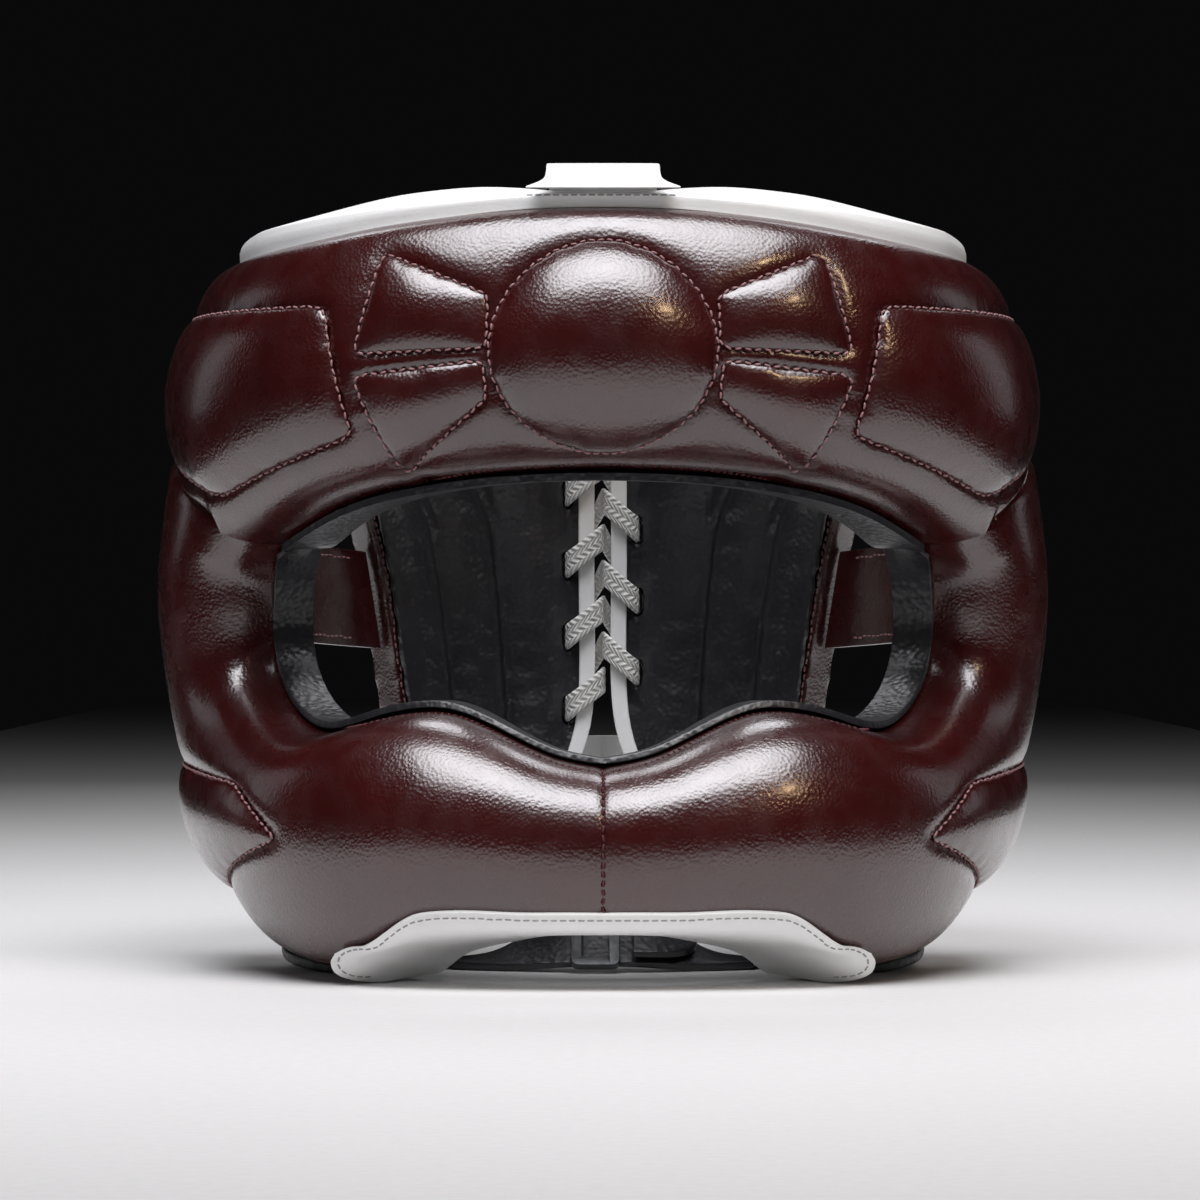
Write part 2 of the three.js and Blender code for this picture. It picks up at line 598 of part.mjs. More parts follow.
// White facing on the top edge of a rear panel
function crownFacingRear(side) {
  const top = REAR.at(-1);
  const sections = evenShares(10).map((s) => {
    const turn = side * lerp(top.aTurn + 0.6, 175, s);
    const height = padHeight(top, s) + 1.2;
    const levels = [top.bZ + GAP, top.bZ + GAP + LEATHER];
    return [
      skin(turn, levels[0], height),
      skin(turn, levels[0], 2),
      skin(turn, levels[1], 2),
      skin(turn, levels[1], height - 1),
    ];
  });
  const flat = [[1, 0], [0, 0], [0, 1], [1, 1]];
  return loft(sections, [flat, flat]);
}

// One flat lace that climbs from hole to hole, wrapping each bound edge in turn
function laceGeometry() {
  const route = [];
  const put = (x, height, z) => route.push(new THREE.Vector3(x, backAt(z) + height, z));
  holes.forEach(({ side, z }) => {
    const high = z + LACE_DROP;
    put(0, LACE_OUTSIDE, high);
    put(0, LACE_INSIDE, high);
    put(side * HOLE_X, LACE_INSIDE, z);
    put(side * HOLE_X, LACE_OUTSIDE, z);
  });
  const sections = route.map((p, i) => {
    const [before, after] = [route[i - 1] ?? p, route[i + 1] ?? p];
    const flatStep = (from, to) => new THREE.Vector2(to.x - from.x, to.y - from.y).normalize();
    const [arrive, leave] = [flatStep(before, p), flatStep(p, after)];
    const mitre = arrive.clone().add(leave);
    const normal = mitre.length() ? mitre.normalize() : leave;
    const straight = arrive.length() && leave.length() ? arrive.dot(normal) : 1;
    const out = LACE_THICK / 2 / straight;
    const half = LACE_WIDTH / 2;
    return [
      [1, 1],
      [-1, 1],
      [-1, -1],
      [1, -1],
    ].map(([n, h]) =>
      p.clone().add(new THREE.Vector3(-normal.y * out * n, normal.x * out * n, half * h)),
    );
  });
  const flat = [[1, 1], [-1, 1], [-1, -1], [1, -1]];
  return loft(sections, [flat, flat]);
}
add("lace", laceGeometry(), LACE_WHITE);

// White tongue that closes the flare below the lacing
function tongueGeometry() {
  const inner = TONGUE.map(({ z, height }) => [z, height]);
  const outer = inner.map(([z, height]) => [z, height + LEATHER]);
  const outline = [...inner, ...outer.reverse()];
  const sections = evenShares(8).map((s) => {
    const turn = lerp(180 - TONGUE_TURN, 180 + TONGUE_TURN, s);
    return outline.map(([z, height]) => skin(turn, z, height));
  });
  return loft(sections, [outline, outline]);
}
add("tongue", tongueGeometry(), WHITE);

// Ear straps across the ear openings
function turnAtZ(rows, turnColumn, zColumn, z) {
  const i = rows.findIndex((row, n) => n && rows[n - 1][zColumn] <= z && row[zColumn] >= z);
  const [low, high] = [rows[i - 1], rows[i]];
  return lerp(low[turnColumn], high[turnColumn], (z - low[zColumn]) / (high[zColumn] - low[zColumn]));
}
function earStrap(side) {
  const { frontTopZ, frontLowZ, backTopZ, backLowZ, height } = EAR_STRAP;
  const clear = 0.6;
  const front = (z) => turnAtZ(FACE.slice(5), "bTurn", "bZ", z) + clear;
  const back = (z) => turnAtZ(REAR, "aTurn", "aZ", z) - clear;
  const edges = [
    [front(frontTopZ), frontTopZ, back(backTopZ), backTopZ],
    [front(frontLowZ), frontLowZ, back(backLowZ), backLowZ],
  ];
  const sections = evenShares(8).map((s) => {
    const [top, low] = edges.map(([t0, z0, t1, z1]) => [side * lerp(t0, t1, s), lerp(z0, z1, s)]);
    return [
      skin(...top, height),
      skin(...low, height),
      skin(...low, height + LEATHER),
      skin(...top, height + LEATHER),
    ];
  });
  const flat = [[0, 0], [1, 0], [1, 1], [0, 1]];
  return loft(sections, [flat, flat]);
}
for (const [where, side] of SIDES) add(`ear_strap_${where}`, earStrap(side), OXBLOOD);

// Crown strap
function crownStrap() {
  const rows = evenShares(20).map((s) =>
    rowAt(CROWN_STRAP, "y", lerp(CROWN_STRAP[0].y, CROWN_STRAP.at(-1).y, s)),
  );
  const sections = rows.map(({ y, z, half, thick }) =>
    [
      [-half, 0],
      [half, 0],
      [half, thick],
      [-half, thick],
    ].map(([x, raise]) => new THREE.Vector3(x, y, z + raise)),
  );
  const flat = [[-1, 0], [1, 0], [1, 1], [-1, 1]];
  return loft(sections, [flat, flat]);
}
add("crown_strap", crownStrap(), WHITE);

// Chin flaps: black leaves under the jaw that carry the strap, faced with white in front
const flapRows = evenShares(9).map((s) =>
  rowAt(CHIN_FLAP, "y", lerp(CHIN_FLAP[0].y, CHIN_FLAP.at(-1).y, s)),
);
const flapShares = evenShares(4);
function chinLeaf(side, rows, shares, raise, thick) {
  const outline = (row) => {
    const low = shares.map((s) => [
      lerp(row.outX, row.inX, s),
      row.outZ * (1 - s) ** 3 + row.inZ * s ** 2 + raise(row),
    ]);
    const top = low.map(([x, z]) => [x, z + thick(row)]);
    return [...low, ...top.reverse()];
  };
  const sections = rows.map((row) =>
    outline(row).map(([x, z]) => new THREE.Vector3(side * x, row.y, z)),
  );
  return loft(sections, [outline(rows[0]), outline(rows.at(-1))]);
}
for (const [where, side] of SIDES) {
  const flap = chinLeaf(side, flapRows, flapShares, () => 0, (row) => row.thick);
  const faced = flapRows.slice(0, 7);
  const facing = chinLeaf(side, faced, flapShares.slice(1), (row) => row.thick + GAP, () => CHIN_FACING);
  add(`chin_flap_${where}`, flap, BLACK);
  add(`chin_facing_${where}`, facing, WHITE);
}

// Chin strap, its free end and its buckle
function strapFrame({ x, y, z, tilt }) {
  const angle = THREE.MathUtils.degToRad(tilt);
  const across = new THREE.Vector3(0, Math.cos(angle), Math.sin(angle));
  const out = new THREE.Vector3(0, -Math.sin(angle), Math.cos(angle));
  return { at: new THREE.Vector3(x, y, z), across, out };
}
function strapLoft(from, to, widths, raise) {
  const flat = [[-0.5, -0.5], [0.5, -0.5], [0.5, 0.5], [-0.5, 0.5]];
  const sections = widths.map((width, i) => {
    const x = lerp(from, to, i / (widths.length - 1));
    const { at, across, out } = strapFrame(rowAt(CHIN_STRAP, "x", x));
    return flat.map(([a, t]) =>
      at
        .clone()
        .addScaledVector(across, a * width)
        .addScaledVector(out, t * STRAP_THICK + raise),
    );
  });
  return loft(sections, [flat, flat]);
}
const strapEnd = CHIN_STRAP.at(-1).x;
const fullWidth = Array(17).fill(STRAP_WIDTH);
add("chin_strap", strapLoft(-strapEnd, strapEnd, fullWidth, 0), BLACK);
const tailWidths = [1, 1, 1, 1, 1, 0.85, 0.45].map((share) => share * STRAP_WIDTH);
add("strap_tail", strapLoft(8, 25, tailWidths, STRAP_THICK + 3 * GAP), BLACK);

function roundedRectangle(Kind, width, height, radius) {
  const [x, y] = [width / 2, height / 2];
  return new Kind()
    .moveTo(-x + radius, -y)
    .lineTo(x - radius, -y)
    .quadraticCurveTo(x, -y, x, -y + radius)
    .lineTo(x, y - radius)
    .quadraticCurveTo(x, y, x - radius, y)
    .lineTo(-x + radius, y)
    .quadraticCurveTo(-x, y, -x, y - radius)
    .lineTo(-x, -y + radius)
    .quadraticCurveTo(-x, -y, -x + radius, -y);
}
function buckleGeometry() {
  const { x, length, width, wire, thick } = BUCKLE;
  const frame = roundedRectangle(THREE.Shape, length, width, 2.5);
  frame.holes.push(roundedRectangle(THREE.Path, length - 2 * wire, width - 2 * wire, 1));
  const options = { depth: thick, bevelEnabled: false, curveSegments: 3 };
  const { at, across, out } = strapFrame(rowAt(CHIN_STRAP, "x", x));
  const along = new THREE.Vector3(1, 0, 0);
  const seat = at.clone().addScaledVector(out, STRAP_THICK / 2 + GAP);
  const place = new THREE.Matrix4().makeBasis(along, across, out).setPosition(seat);
  return new THREE.ExtrudeGeometry(frame, options).applyMatrix4(place);
}
add("strap_buckle", buckleGeometry(), GUNMETAL);

export default headgear;
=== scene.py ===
"""Boxing headgear with a face bar: padded leather, lining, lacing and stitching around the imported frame."""

import math

import bpy
import numpy as np
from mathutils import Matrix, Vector, geometry, noise
from mathutils.bvhtree import BVHTree


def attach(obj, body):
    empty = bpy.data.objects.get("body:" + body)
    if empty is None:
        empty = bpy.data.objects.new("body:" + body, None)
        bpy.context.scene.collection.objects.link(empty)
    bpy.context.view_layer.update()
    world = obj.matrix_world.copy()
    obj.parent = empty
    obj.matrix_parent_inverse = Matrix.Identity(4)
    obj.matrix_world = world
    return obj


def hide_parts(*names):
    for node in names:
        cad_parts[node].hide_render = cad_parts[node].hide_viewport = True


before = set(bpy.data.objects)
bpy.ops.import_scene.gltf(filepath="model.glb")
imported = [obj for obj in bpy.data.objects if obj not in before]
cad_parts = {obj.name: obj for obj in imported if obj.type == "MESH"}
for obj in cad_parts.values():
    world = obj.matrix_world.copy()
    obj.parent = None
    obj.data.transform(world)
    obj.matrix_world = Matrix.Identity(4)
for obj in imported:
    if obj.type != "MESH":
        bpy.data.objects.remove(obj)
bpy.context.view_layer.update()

# Driving sizes, in metres
MM = 0.001
AXIS_Y = 6 * MM  # the head's own upright axis, behind the middle of the object
WRAP = 105 * MM  # a way round the head is measured at this radius
FAR = 400 * MM  # rays towards the object start this far out
SEAM_DEPTH = 0.7 * MM  # how far a sewn outline pulls the panel in
SEAM_WIDTH = 2.4 * MM
PAD_BED = 2.0 * MM  # how far a panel is hollowed under a pad
PAD_RIM = -0.3 * MM  # a pad's upper edge at its outline, against the panel's free face
PAD_FOOT = -1.2 * MM  # its lower face
PAD_GRID = 2 * MM
PAD_SPARE = 1.02  # a pad is cut from a sheet this much larger than its outline
PAD_MERGE = 0.35 * MM  # cut points closer than this become one
SKIN_MERGE = 0.02 * MM  # and so do a solid's corners
PUCKER_PITCH = 4 * MM
PUCKER_HEIGHT = 0.1 * MM
WAVE_SIZE = 38 * MM  # slow unevenness of the foam under the leather
WAVE_HEIGHT = 0.35 * MM
STITCH = {"length": 1.7 * MM, "width": 0.6 * MM, "pitch": 2.3 * MM}
RIM_STITCH = {"length": 1.9 * MM, "width": 0.5 * MM, "pitch": 1.7 * MM}
THREAD = {"shoulder": 0.3, "end": 0.45, "sink": 0.3}  # a stitch's shape, as shares of its length and girth
RIM_INSET = 1.1 * MM  # the ticks sit this far out on the leather
PAD_STITCH_RISE = 0.2 * MM  # a pad's stitches stand this far above its edge
STRAP_INSET = 2.2 * MM  # an ear strap's stitches run this far inside its edges
SHARP_EDGE = math.radians(50)
PANEL_EDGE = 1.0 * MM  # how wide the leather rounds over at a panel's sewn edge
TRIM_EDGE = 0.5 * MM  # and on a thin sheet
BUCKLE_EDGE = 0.4 * MM
REAR_SKIN = {"voxel": 1.3 * MM, "passes": 36}  # the back is evened in faces of this size
LINING_SKIN = {"voxel": 1.0 * MM, "passes": 6}
SEAM_REACH = 3 * MM  # skins this close to a neighbour are drawn against it
BAR_REACH = 2 * MM  # and the halves of the bar to each other
BINDING_REACH = 1.5 * MM  # and the chin binding to the bar
LINING_REACH = 6 * MM  # and the cheek lining to the brow lining
SEAM_LAP = 0.5 * MM
# Seams sewn down the rear lining, whose width is measured at steps of height
CHANNELS = {"count": 3, "margin": 0.09, "depth": 1.3 * MM, "width": 1.3 * MM, "step": 4 * MM}
CREASE_SIZE = np.array([15, 15, 5]) * MM  # the lining's creases run round the head
CREASE_HEIGHT = 0.4 * MM
EYE_Z = 92 * MM  # the middle of the eye opening
EYE_REACH = 110 * MM  # the leather beside it is met before this far
BACK_FROM = -10 * MM  # what is seen through the opening lies behind this
# The cheek beside the eye opening is filled out forwards: how much, over what height, between which widths
CHEEK = {
    "fill": 6 * MM,
    "tall": 18 * MM,
    "rim": 83 * MM,
    "full": 100 * MM,
    "fade": 22 * MM,
    "side": 117 * MM,
    "facing": 0.4,  # all of it where the skin faces forwards by this share
}
# The white chin corners, seen from the front: the round end, and where it starts
CHIN_END = {"middle": np.array([60.5, 5.6]) * MM, "reach": np.array([9, 5.0]) * MM, "start": 46 * MM}
CHIN_MARKS = {"step": 5, "spread": 3.5}  # degrees: the end's reach is measured in these directions
# How far the white stands out from the leather there, less where it turns away from the front
CHIN_OVER = {"most": 1.8 * MM, "turn": 0.6, "least": 0.1}
CHIN_REACH = 3 * MM  # what lies deeper than this behind the leather's face stays inside
CHIN_EVEN = {"before": 8 * MM, "share": 0.3, "passes": 4}  # the end is evened from before its start
# The soft fold inside each corner: its line, its section and how it fades at the ends and sides
CHIN_FOLD = {
    "from": np.array([62, 6]) * MM,
    "to": np.array([41, 11]) * MM,
    "depth": 0.8 * MM,
    "width": 1.6 * MM,
    "fade_in": 0.15,
    "fade_out": 0.5,
    "facing": 0.3,
}
CHIN_MIDDLE = np.array([54, 7.5]) * MM  # the corner's stitches are found outwards from here
CHIN_SPAN = 25 * MM  # within this reach
CHIN_INSET = 1.9 * MM  # the stitches run this far inside the white edge
TONGUE_CORNER = 10 * MM
TONGUE_INSET = 3 * MM  # its stitches run this far inside its edge

# Where stitch lines are looked for, in millimetres or degrees: first, last and step
BAR_SEAM_HEIGHTS = (17.5, 55, 0.5)
BINDING_WAYS = (-51, 51.1, 1.5)
BINDING_HEIGHTS = (24, 0, -0.2)
CORNER_TURNS = (80, -50, -4)
CROWN_WAYS = (-20, 20.1, 1)
STRAP_TURNS = (99, 134, 0.5)
STRAP_HEIGHTS = (80, 120, 0.5)
REAR_HEIGHTS = (12, 150, 2)
REAR_WAYS = (74, 30, -0.5)
BAR_SEAM_SIDE = 1.2 * MM  # the bar's seam lies between the skins this far either side
BAR_SEAM_RISE = 0.1 * MM
CROWN_STITCH_Z = 201.8 * MM

# How far each pad stands above the panel it is sewn to, and how square its shoulders are
PADS = {
    "round_pad": {"panel": "forehead_panel", "crest": 7.5 * MM, "squareness": 0.8},
    "bow_pad_upper": {"panel": "forehead_panel", "crest": 2.2 * MM, "squareness": 0.8},
    "bow_pad_lower": {"panel": "forehead_panel", "crest": 2.0 * MM, "squareness": 0.8},
    "temple_pad": {"panel": "forehead_panel", "crest": 4.6 * MM, "squareness": 0.7},
    "jaw_pad": {"panel": "face_panel", "crest": 4.6 * MM, "squareness": 0.8},
}
SIDES = ("left", "right")


def both(name):
    return [f"{name}_{side}" for side in SIDES]


# Material helpers
def linear(text):
    """An sRGB hex colour as linear RGBA."""
    channels = [int(text[i : i + 2], 16) / 255 for i in (1, 3, 5)]
    return (*[c / 12.92 if c <= 0.04045 else ((c + 0.055) / 1.055) ** 2.4 for c in channels], 1.0)


def per_mm(size):
    """The texture scale whose pattern repeats at this size in millimetres."""
    return 1 / (size * MM)


def add_node(tree, kind, settings=None, **inputs):
    """A node with its settings; each input is a value, or the socket that feeds it."""
    made = tree.nodes.new(kind)
    for name, value in (settings or {}).items():
        setattr(made, name, value)
    for name, value in inputs.items():
        socket = made.inputs[int(name[1:]) if name[0] == "_" else name.replace("_", " ")]
        if isinstance(value, bpy.types.NodeSocket):
            tree.links.new(value, socket)
        else:
            socket.default_value = value
    return made


def new_material(name, **sockets):
    made = bpy.data.materials.new(name)
    made.use_nodes = True
    shader = made.node_tree.nodes["Principled BSDF"]
    for socket, value in sockets.items():
        shader.inputs[socket.replace("_", " ")].default_value = value
    return made, made.node_tree, shader


def leather(name, deep, worn, gloss, grain_mm, grain_height_mm, fold_mm, **sockets):
    """Tanned leather: pebbled grain, slow tone changes and a finish that is duller in the hollows."""
    made, tree, shader = new_material(name, **sockets)
    place = add_node(tree, "ShaderNodeTexCoord").outputs["Object"]
    tone = add_node(tree, "ShaderNodeTexNoise", Vector=place, Scale=per_mm(26), Detail=4.0).outputs["Fac"]
    colour = add_node(
        tree,
        "ShaderNodeMix",
        {"data_type": "RGBA"},
        _0=tone,
        _6=linear(deep),
        _7=linear(worn),
    ).outputs[2]
    tree.links.new(colour, shader.inputs["Base Color"])
    grain = add_node(
        tree,
        "ShaderNodeTexVoronoi",
        {"feature": "SMOOTH_F1"},
        Vector=place,
        Scale=per_mm(grain_mm),
        Smoothness=0.5,
    ).outputs["Distance"]
    fold = add_node(
        tree,
        "ShaderNodeTexNoise",
        Vector=place,
        Scale=per_mm(fold_mm),
        Detail=2.5,
    ).outputs["Fac"]
    finish = add_node(
        tree,
        "ShaderNodeMapRange",
        Value=fold,
        _1=0.3,
        _2=0.7,
        _3=gloss - 0.04,
        _4=gloss + 0.06,
    ).outputs["Result"]
    tree.links.new(finish, shader.inputs["Roughness"])
    slow = add_node(tree, "ShaderNodeBump", Height=fold, Strength=0.4, Distance=0.25 * MM)
    fine = add_node(
        tree,
        "ShaderNodeBump",
        Height=grain,
        Strength=1.0,
        Distance=grain_height_mm * MM,
        Normal=slow.outputs["Normal"],
    )
    tree.links.new(fine.outputs["Normal"], shader.inputs["Normal"])
    return made


def thread(name, colour):
    """Twisted polyester sewing thread: matt, with a ply every third of a millimetre."""
    made, tree, shader = new_material(name, Roughness=0.6)
    place = add_node(tree, "ShaderNodeTexCoord").outputs["Object"]
    ply = add_node(tree, "ShaderNodeTexNoise", Vector=place, Scale=per_mm(0.35)).outputs["Fac"]
    shade = add_node(
        tree,
        "ShaderNodeMix",
        {"data_type": "RGBA"},
        _0=ply,
        _6=linear(colour),
        _7=[min(1.0, c * 1.5) for c in linear(colour)],
    ).outputs[2]
    tree.links.new(shade, shader.inputs["Base Color"])
    return made


# Full-grain cowhide with a polished oxblood finish: deep red brown, sharp soft-edged reflections
OXBLOOD = leather(
    "polished_oxblood_cowhide", "#2a0909", "#420d0e", 0.26, 0.9, 0.09, 7,
    IOR=1.5, Specular_IOR_Level=1.0, Coat_Weight=0.7, Coat_Roughness=0.17,
)
# Soft black lining leather, drum dyed: broad grain and a satin sheen
LINING = leather(
    "black_lining_leather", "#18181b", "#28282c", 0.36, 1.6, 0.2, 6,
    IOR=1.5, Specular_IOR_Level=0.8,
)
# Smooth white trim leather: near white, faintly grained
TRIM = leather("white_trim_leather", "#e6e6e6", "#f4f4f3", 0.4, 0.8, 0.02, 9, IOR=1.5)
OXBLOOD_THREAD = thread("oxblood_thread", "#8d686a")
DARK_THREAD = thread("dark_red_thread", "#4a1d20")
GREY_THREAD = thread("grey_thread", "#8d8b8c")


def braided_cotton():
    """Flat braided cotton lace: plaits that climb both edges towards the middle, every two millimetres, with
    painted shade in the grooves between them.
    """
    made, tree, shader = new_material("braided_cotton_lace", Roughness=0.8, Sheen_Weight=0.2)
    run = add_node(tree, "ShaderNodeUVMap", {"uv_map": "run"}).outputs["UV"]
    split = add_node(tree, "ShaderNodeSeparateXYZ", Vector=run)
    fold = add_node(tree, "ShaderNodeMath", {"operation": "PINGPONG"}, _0=split.outputs["Y"], _1=0.25)
    lean = add_node(tree, "ShaderNodeMath", {"operation": "MULTIPLY_ADD"}, _0=fold.outputs[0], _1=9.0,
                    _2=split.outputs["X"])
    wave = add_node(tree, "ShaderNodeMath", {"operation": "SINE"}, _0=add_node(
        tree, "ShaderNodeMath", {"operation": "MULTIPLY"}, _0=lean.outputs[0], _1=math.tau / 2.0,
    ).outputs[0])
    shade = add_node(tree, "ShaderNodeMapRange", Value=wave.outputs[0], _1=-1.0, _2=1.0, _3=0.0, _4=1.0)
    # The colour follows the plaits' relief: near white on their crests and painted shade, grey, in the
    # grooves between them.
    colour = add_node(tree, "ShaderNodeMix", {"data_type": "RGBA"}, _0=shade.outputs[0],
                      _6=linear("#c4c3bf"), _7=linear("#f4f3f0")).outputs[2]
    tree.links.new(colour, shader.inputs["Base Color"])
    relief = add_node(tree, "ShaderNodeBump", Height=shade.outputs[0], Strength=1.0, Distance=0.35 * MM)
    tree.links.new(relief.outputs["Normal"], shader.inputs["Normal"])
    return made


def gunmetal_plate():
    """Die-cast buckle with dark plating: grey metal, brushed by wear."""
    made, tree, shader = new_material("gunmetal_plated_zinc", Metallic=1.0)
    place = add_node(tree, "ShaderNodeTexCoord").outputs["Object"]
    wear = add_node(tree, "ShaderNodeTexNoise", Vector=place, Scale=per_mm(1.5), Detail=3.0).outputs["Fac"]
    finish = add_node(tree, "ShaderNodeMapRange", Value=wear, _3=0.25, _4=0.5).outputs["Result"]
    tree.links.new(finish, shader.inputs["Roughness"])
    colour = add_node(tree, "ShaderNodeMix", {"data_type": "RGBA"}, _0=wear,
                      _6=linear("#3a3b3d"), _7=linear("#6a6b6d")).outputs[2]
    tree.links.new(colour, shader.inputs["Base Color"])
    return made


LACE_COTTON = braided_cotton()
GUNMETAL = gunmetal_plate()


# Mesh helpers
def only(piece):
    bpy.ops.object.select_all(action="DESELECT")
    piece.select_set(True)
    bpy.context.view_layer.objects.active = piece


def editing(*steps):
    """Runs each step in edit mode on the active piece."""
    bpy.ops.object.mode_set(mode="EDIT")
    for step in steps:
        step()
    bpy.ops.object.mode_set(mode="OBJECT")


def select_all():
    bpy.ops.mesh.select_all(action="SELECT")


def apply(piece, kind, **settings):
    made = piece.modifiers.new(kind.lower(), kind)
    for name, value in settings.items():
        setattr(made, name, value)
    only(piece)
    bpy.ops.object.modifier_apply(modifier=made.name)


def subdivide(piece, levels):
    apply(piece, "SUBSURF", levels=levels, render_levels=levels)


def new_piece(name, mesh):
    piece = bpy.data.objects.new(name, mesh)
    bpy.context.scene.collection.objects.link(piece)
    only(piece)
    return piece


def copied(node):
    """The node's solid as a piece of its own, merged into one closed skin of quads."""
    piece = new_piece(f"{node}_sewn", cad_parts[node].data.copy())
    bpy.ops.mesh.customdata_custom_splitnormals_clear()
    piece.data.materials.clear()
    editing(
        select_all,
        lambda: bpy.ops.mesh.remove_doubles(threshold=SKIN_MERGE),
        lambda: bpy.ops.mesh.tris_convert_to_quads(
            face_threshold=math.radians(45), shape_threshold=math.radians(140)
        ),
    )
    return piece


def smooth_skin(node, levels, edge):
    """A rounded copy of a node; edge is how wide its sharp edges are worn round."""
    piece = copied(node)
    apply(piece, "BEVEL", width=edge, segments=2, limit_method="ANGLE", angle_limit=SHARP_EDGE)
    subdivide(piece, levels)
    bpy.ops.object.shade_smooth()
    return piece


def even_skin(node, voxel, passes, levels=0):
    """A copy of a cut node in even small faces, its edges worn round."""
    piece = copied(node)
    if levels:
        apply(piece, "BEVEL", width=PANEL_EDGE, segments=2, limit_method="ANGLE", angle_limit=SHARP_EDGE)
        subdivide(piece, levels)
    apply(piece, "REMESH", mode="VOXEL", voxel_size=voxel)
    apply(piece, "SMOOTH", factor=0.5, iterations=passes)
    bpy.ops.object.shade_smooth()
    return piece


def places(piece):
    flat = np.empty(len(piece.data.vertices) * 3)
    piece.data.vertices.foreach_get("co", flat)
    return flat.reshape(-1, 3)


def outward(piece):
    flat = np.empty(len(piece.data.vertices) * 3)
    piece.data.vertex_normals.foreach_get("vector", flat)
    return flat.reshape(-1, 3)


def put(piece, points):
    piece.data.vertices.foreach_set("co", np.ascontiguousarray(points).ravel())
    piece.data.update()


def tree_of(*pieces):
    points, faces = [], []
    for piece in pieces:
        first = len(points)
        points += [v.co.copy() for v in piece.data.vertices]
        faces += [[first + n for n in face.vertices] for face in piece.data.polygons]
    return BVHTree.FromPolygons(points, faces)


def finished(piece, material, slot, *nodes, fill=None):
    """Gives a piece its finish and its place in the frame."""
    piece.data.materials.clear()
    piece.data.materials.append(material)
    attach(piece, "root")
    if nodes:
        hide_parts(*nodes)
    return piece


# The way round the head: points as metres along it and height
def to_wrap(points):
    turn = np.arctan2(points[:, 0], AXIS_Y - points[:, 1])
    return np.column_stack([WRAP * turn, points[:, 2]])


def on_wrap(tree, way, height):
    """Where a level ray towards the head's axis meets a skin."""
    turn = way / WRAP
    out = Vector((math.sin(turn), -math.cos(turn), 0))
    start = Vector((0, AXIS_Y, height)) + out * FAR
    hit = tree.ray_cast(start, -out)[0]
    return hit if hit is not None else tree.find_nearest(start + out * (WRAP - FAR))[0]


def frame_on_wrap(tree, way, height, reach=3 * MM):
    """A place on a skin and the direction out of it, evened over a few millimetres."""
    across = on_wrap(tree, way + reach, height) - on_wrap(tree, way - reach, height)
    up = on_wrap(tree, way, height + reach) - on_wrap(tree, way, height - reach)
    return on_wrap(tree, way, height), across.cross(up).normalized()


def spaced(points, step, closed):
    """Points at an even step along a line."""
    line = np.vstack([points, points[:1]]) if closed else np.asarray(points, float)
    run = np.concatenate([[0], np.cumsum(np.linalg.norm(np.diff(line, axis=0), axis=1))])
    count = max(2, round(run[-1] / step))
    marks = np.linspace(0, run[-1], count, endpoint=False) if closed else np.linspace(0, run[-1], count)
    return np.column_stack([np.interp(marks, run, column) for column in line.T])


def outline_of(node, step=1.5 * MM):
    """The sewn outline of a pad, anticlockwise on the wrap, with its corners softened."""
    flat = to_wrap(np.array([v.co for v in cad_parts[node].data.vertices]))
    ring = flat[geometry.convex_hull_2d([tuple(p) for p in flat])]
    ring = spaced(ring, step, closed=True)
    ring = (np.roll(ring, 1, 0) + 2 * ring + np.roll(ring, -1, 0)) / 4
    area = np.sum(ring[:, 0] * np.roll(ring[:, 1], -1) - np.roll(ring[:, 0], -1) * ring[:, 1])
    return ring if area > 0 else ring[::-1]


def depth_in(points, ring):
    """How far points lie inside a convex ring, below zero outside, and how far along it they are."""
    step = np.roll(ring, -1, 0) - ring
    length = np.linalg.norm(step, axis=1)
    inward = np.column_stack([-step[:, 1], step[:, 0]]) / length[:, None]
    depth = np.einsum("nij,ij->ni", points[:, None] - ring[None], inward)
    edge = depth.argmin(1)
    along = np.einsum("nj,nj->n", points - ring[edge], step[edge]) / length[edge]
    run = np.concatenate([[0], np.cumsum(length)])[edge] + along
    return depth.min(1), run


def puckers(run, depth):
    """Small uneven gathers across a seam, fading away from it."""
    sway = np.array([noise.noise((x / (3 * PUCKER_PITCH), 0, 7)) for x in run])
    wave = np.cos(math.tau * run / PUCKER_PITCH + 5 * sway)
    return PUCKER_HEIGHT * (0.6 + sway) * wave * np.exp(-np.abs(depth) / SEAM_WIDTH)


def press_outlines(piece, rings):
    """Draws a panel in along each sewn outline, with puckers, and hollows it under the pads."""
    points, out = places(piece), outward(piece)
    wrap = to_wrap(points)
    radial = points - np.array([0, AXIS_Y, 0])
    outer = out[:, 0] * radial[:, 0] + out[:, 1] * radial[:, 1] > 0
    drop = np.zeros(len(points))
    for ring in rings:
        low, high = ring.min(0) - 4 * SEAM_WIDTH, ring.max(0) + 4 * SEAM_WIDTH
        near = np.flatnonzero(outer & (wrap > low).all(1) & (wrap < high).all(1))
        depth, run = depth_in(wrap[near], ring)
        pull = SEAM_DEPTH * np.exp(-((np.minimum(depth, 0) / SEAM_WIDTH) ** 2))
        bed = (PAD_BED - SEAM_DEPTH) * np.clip(depth / SEAM_DEPTH, 0, 1)
        ripple = puckers(run, depth) * (depth < 0)
        drop[near] = np.maximum(drop[near], pull + bed + ripple)
    put(piece, points - out * drop[:, None])


def close_seam(piece, tree, reach=SEAM_REACH):
    """Draws the part of a skin that lies close to a neighbour against it, as a tight seam does."""
    points = places(piece)
    for n, point in enumerate(points):
        spot, _, _, away = tree.find_nearest(point, reach)
        if spot is not None and away > 0:
            step = np.array(spot) - point
            points[n] += step * (1 + SEAM_LAP / away) * (1 - (away / reach) ** 2)
    put(piece, points)


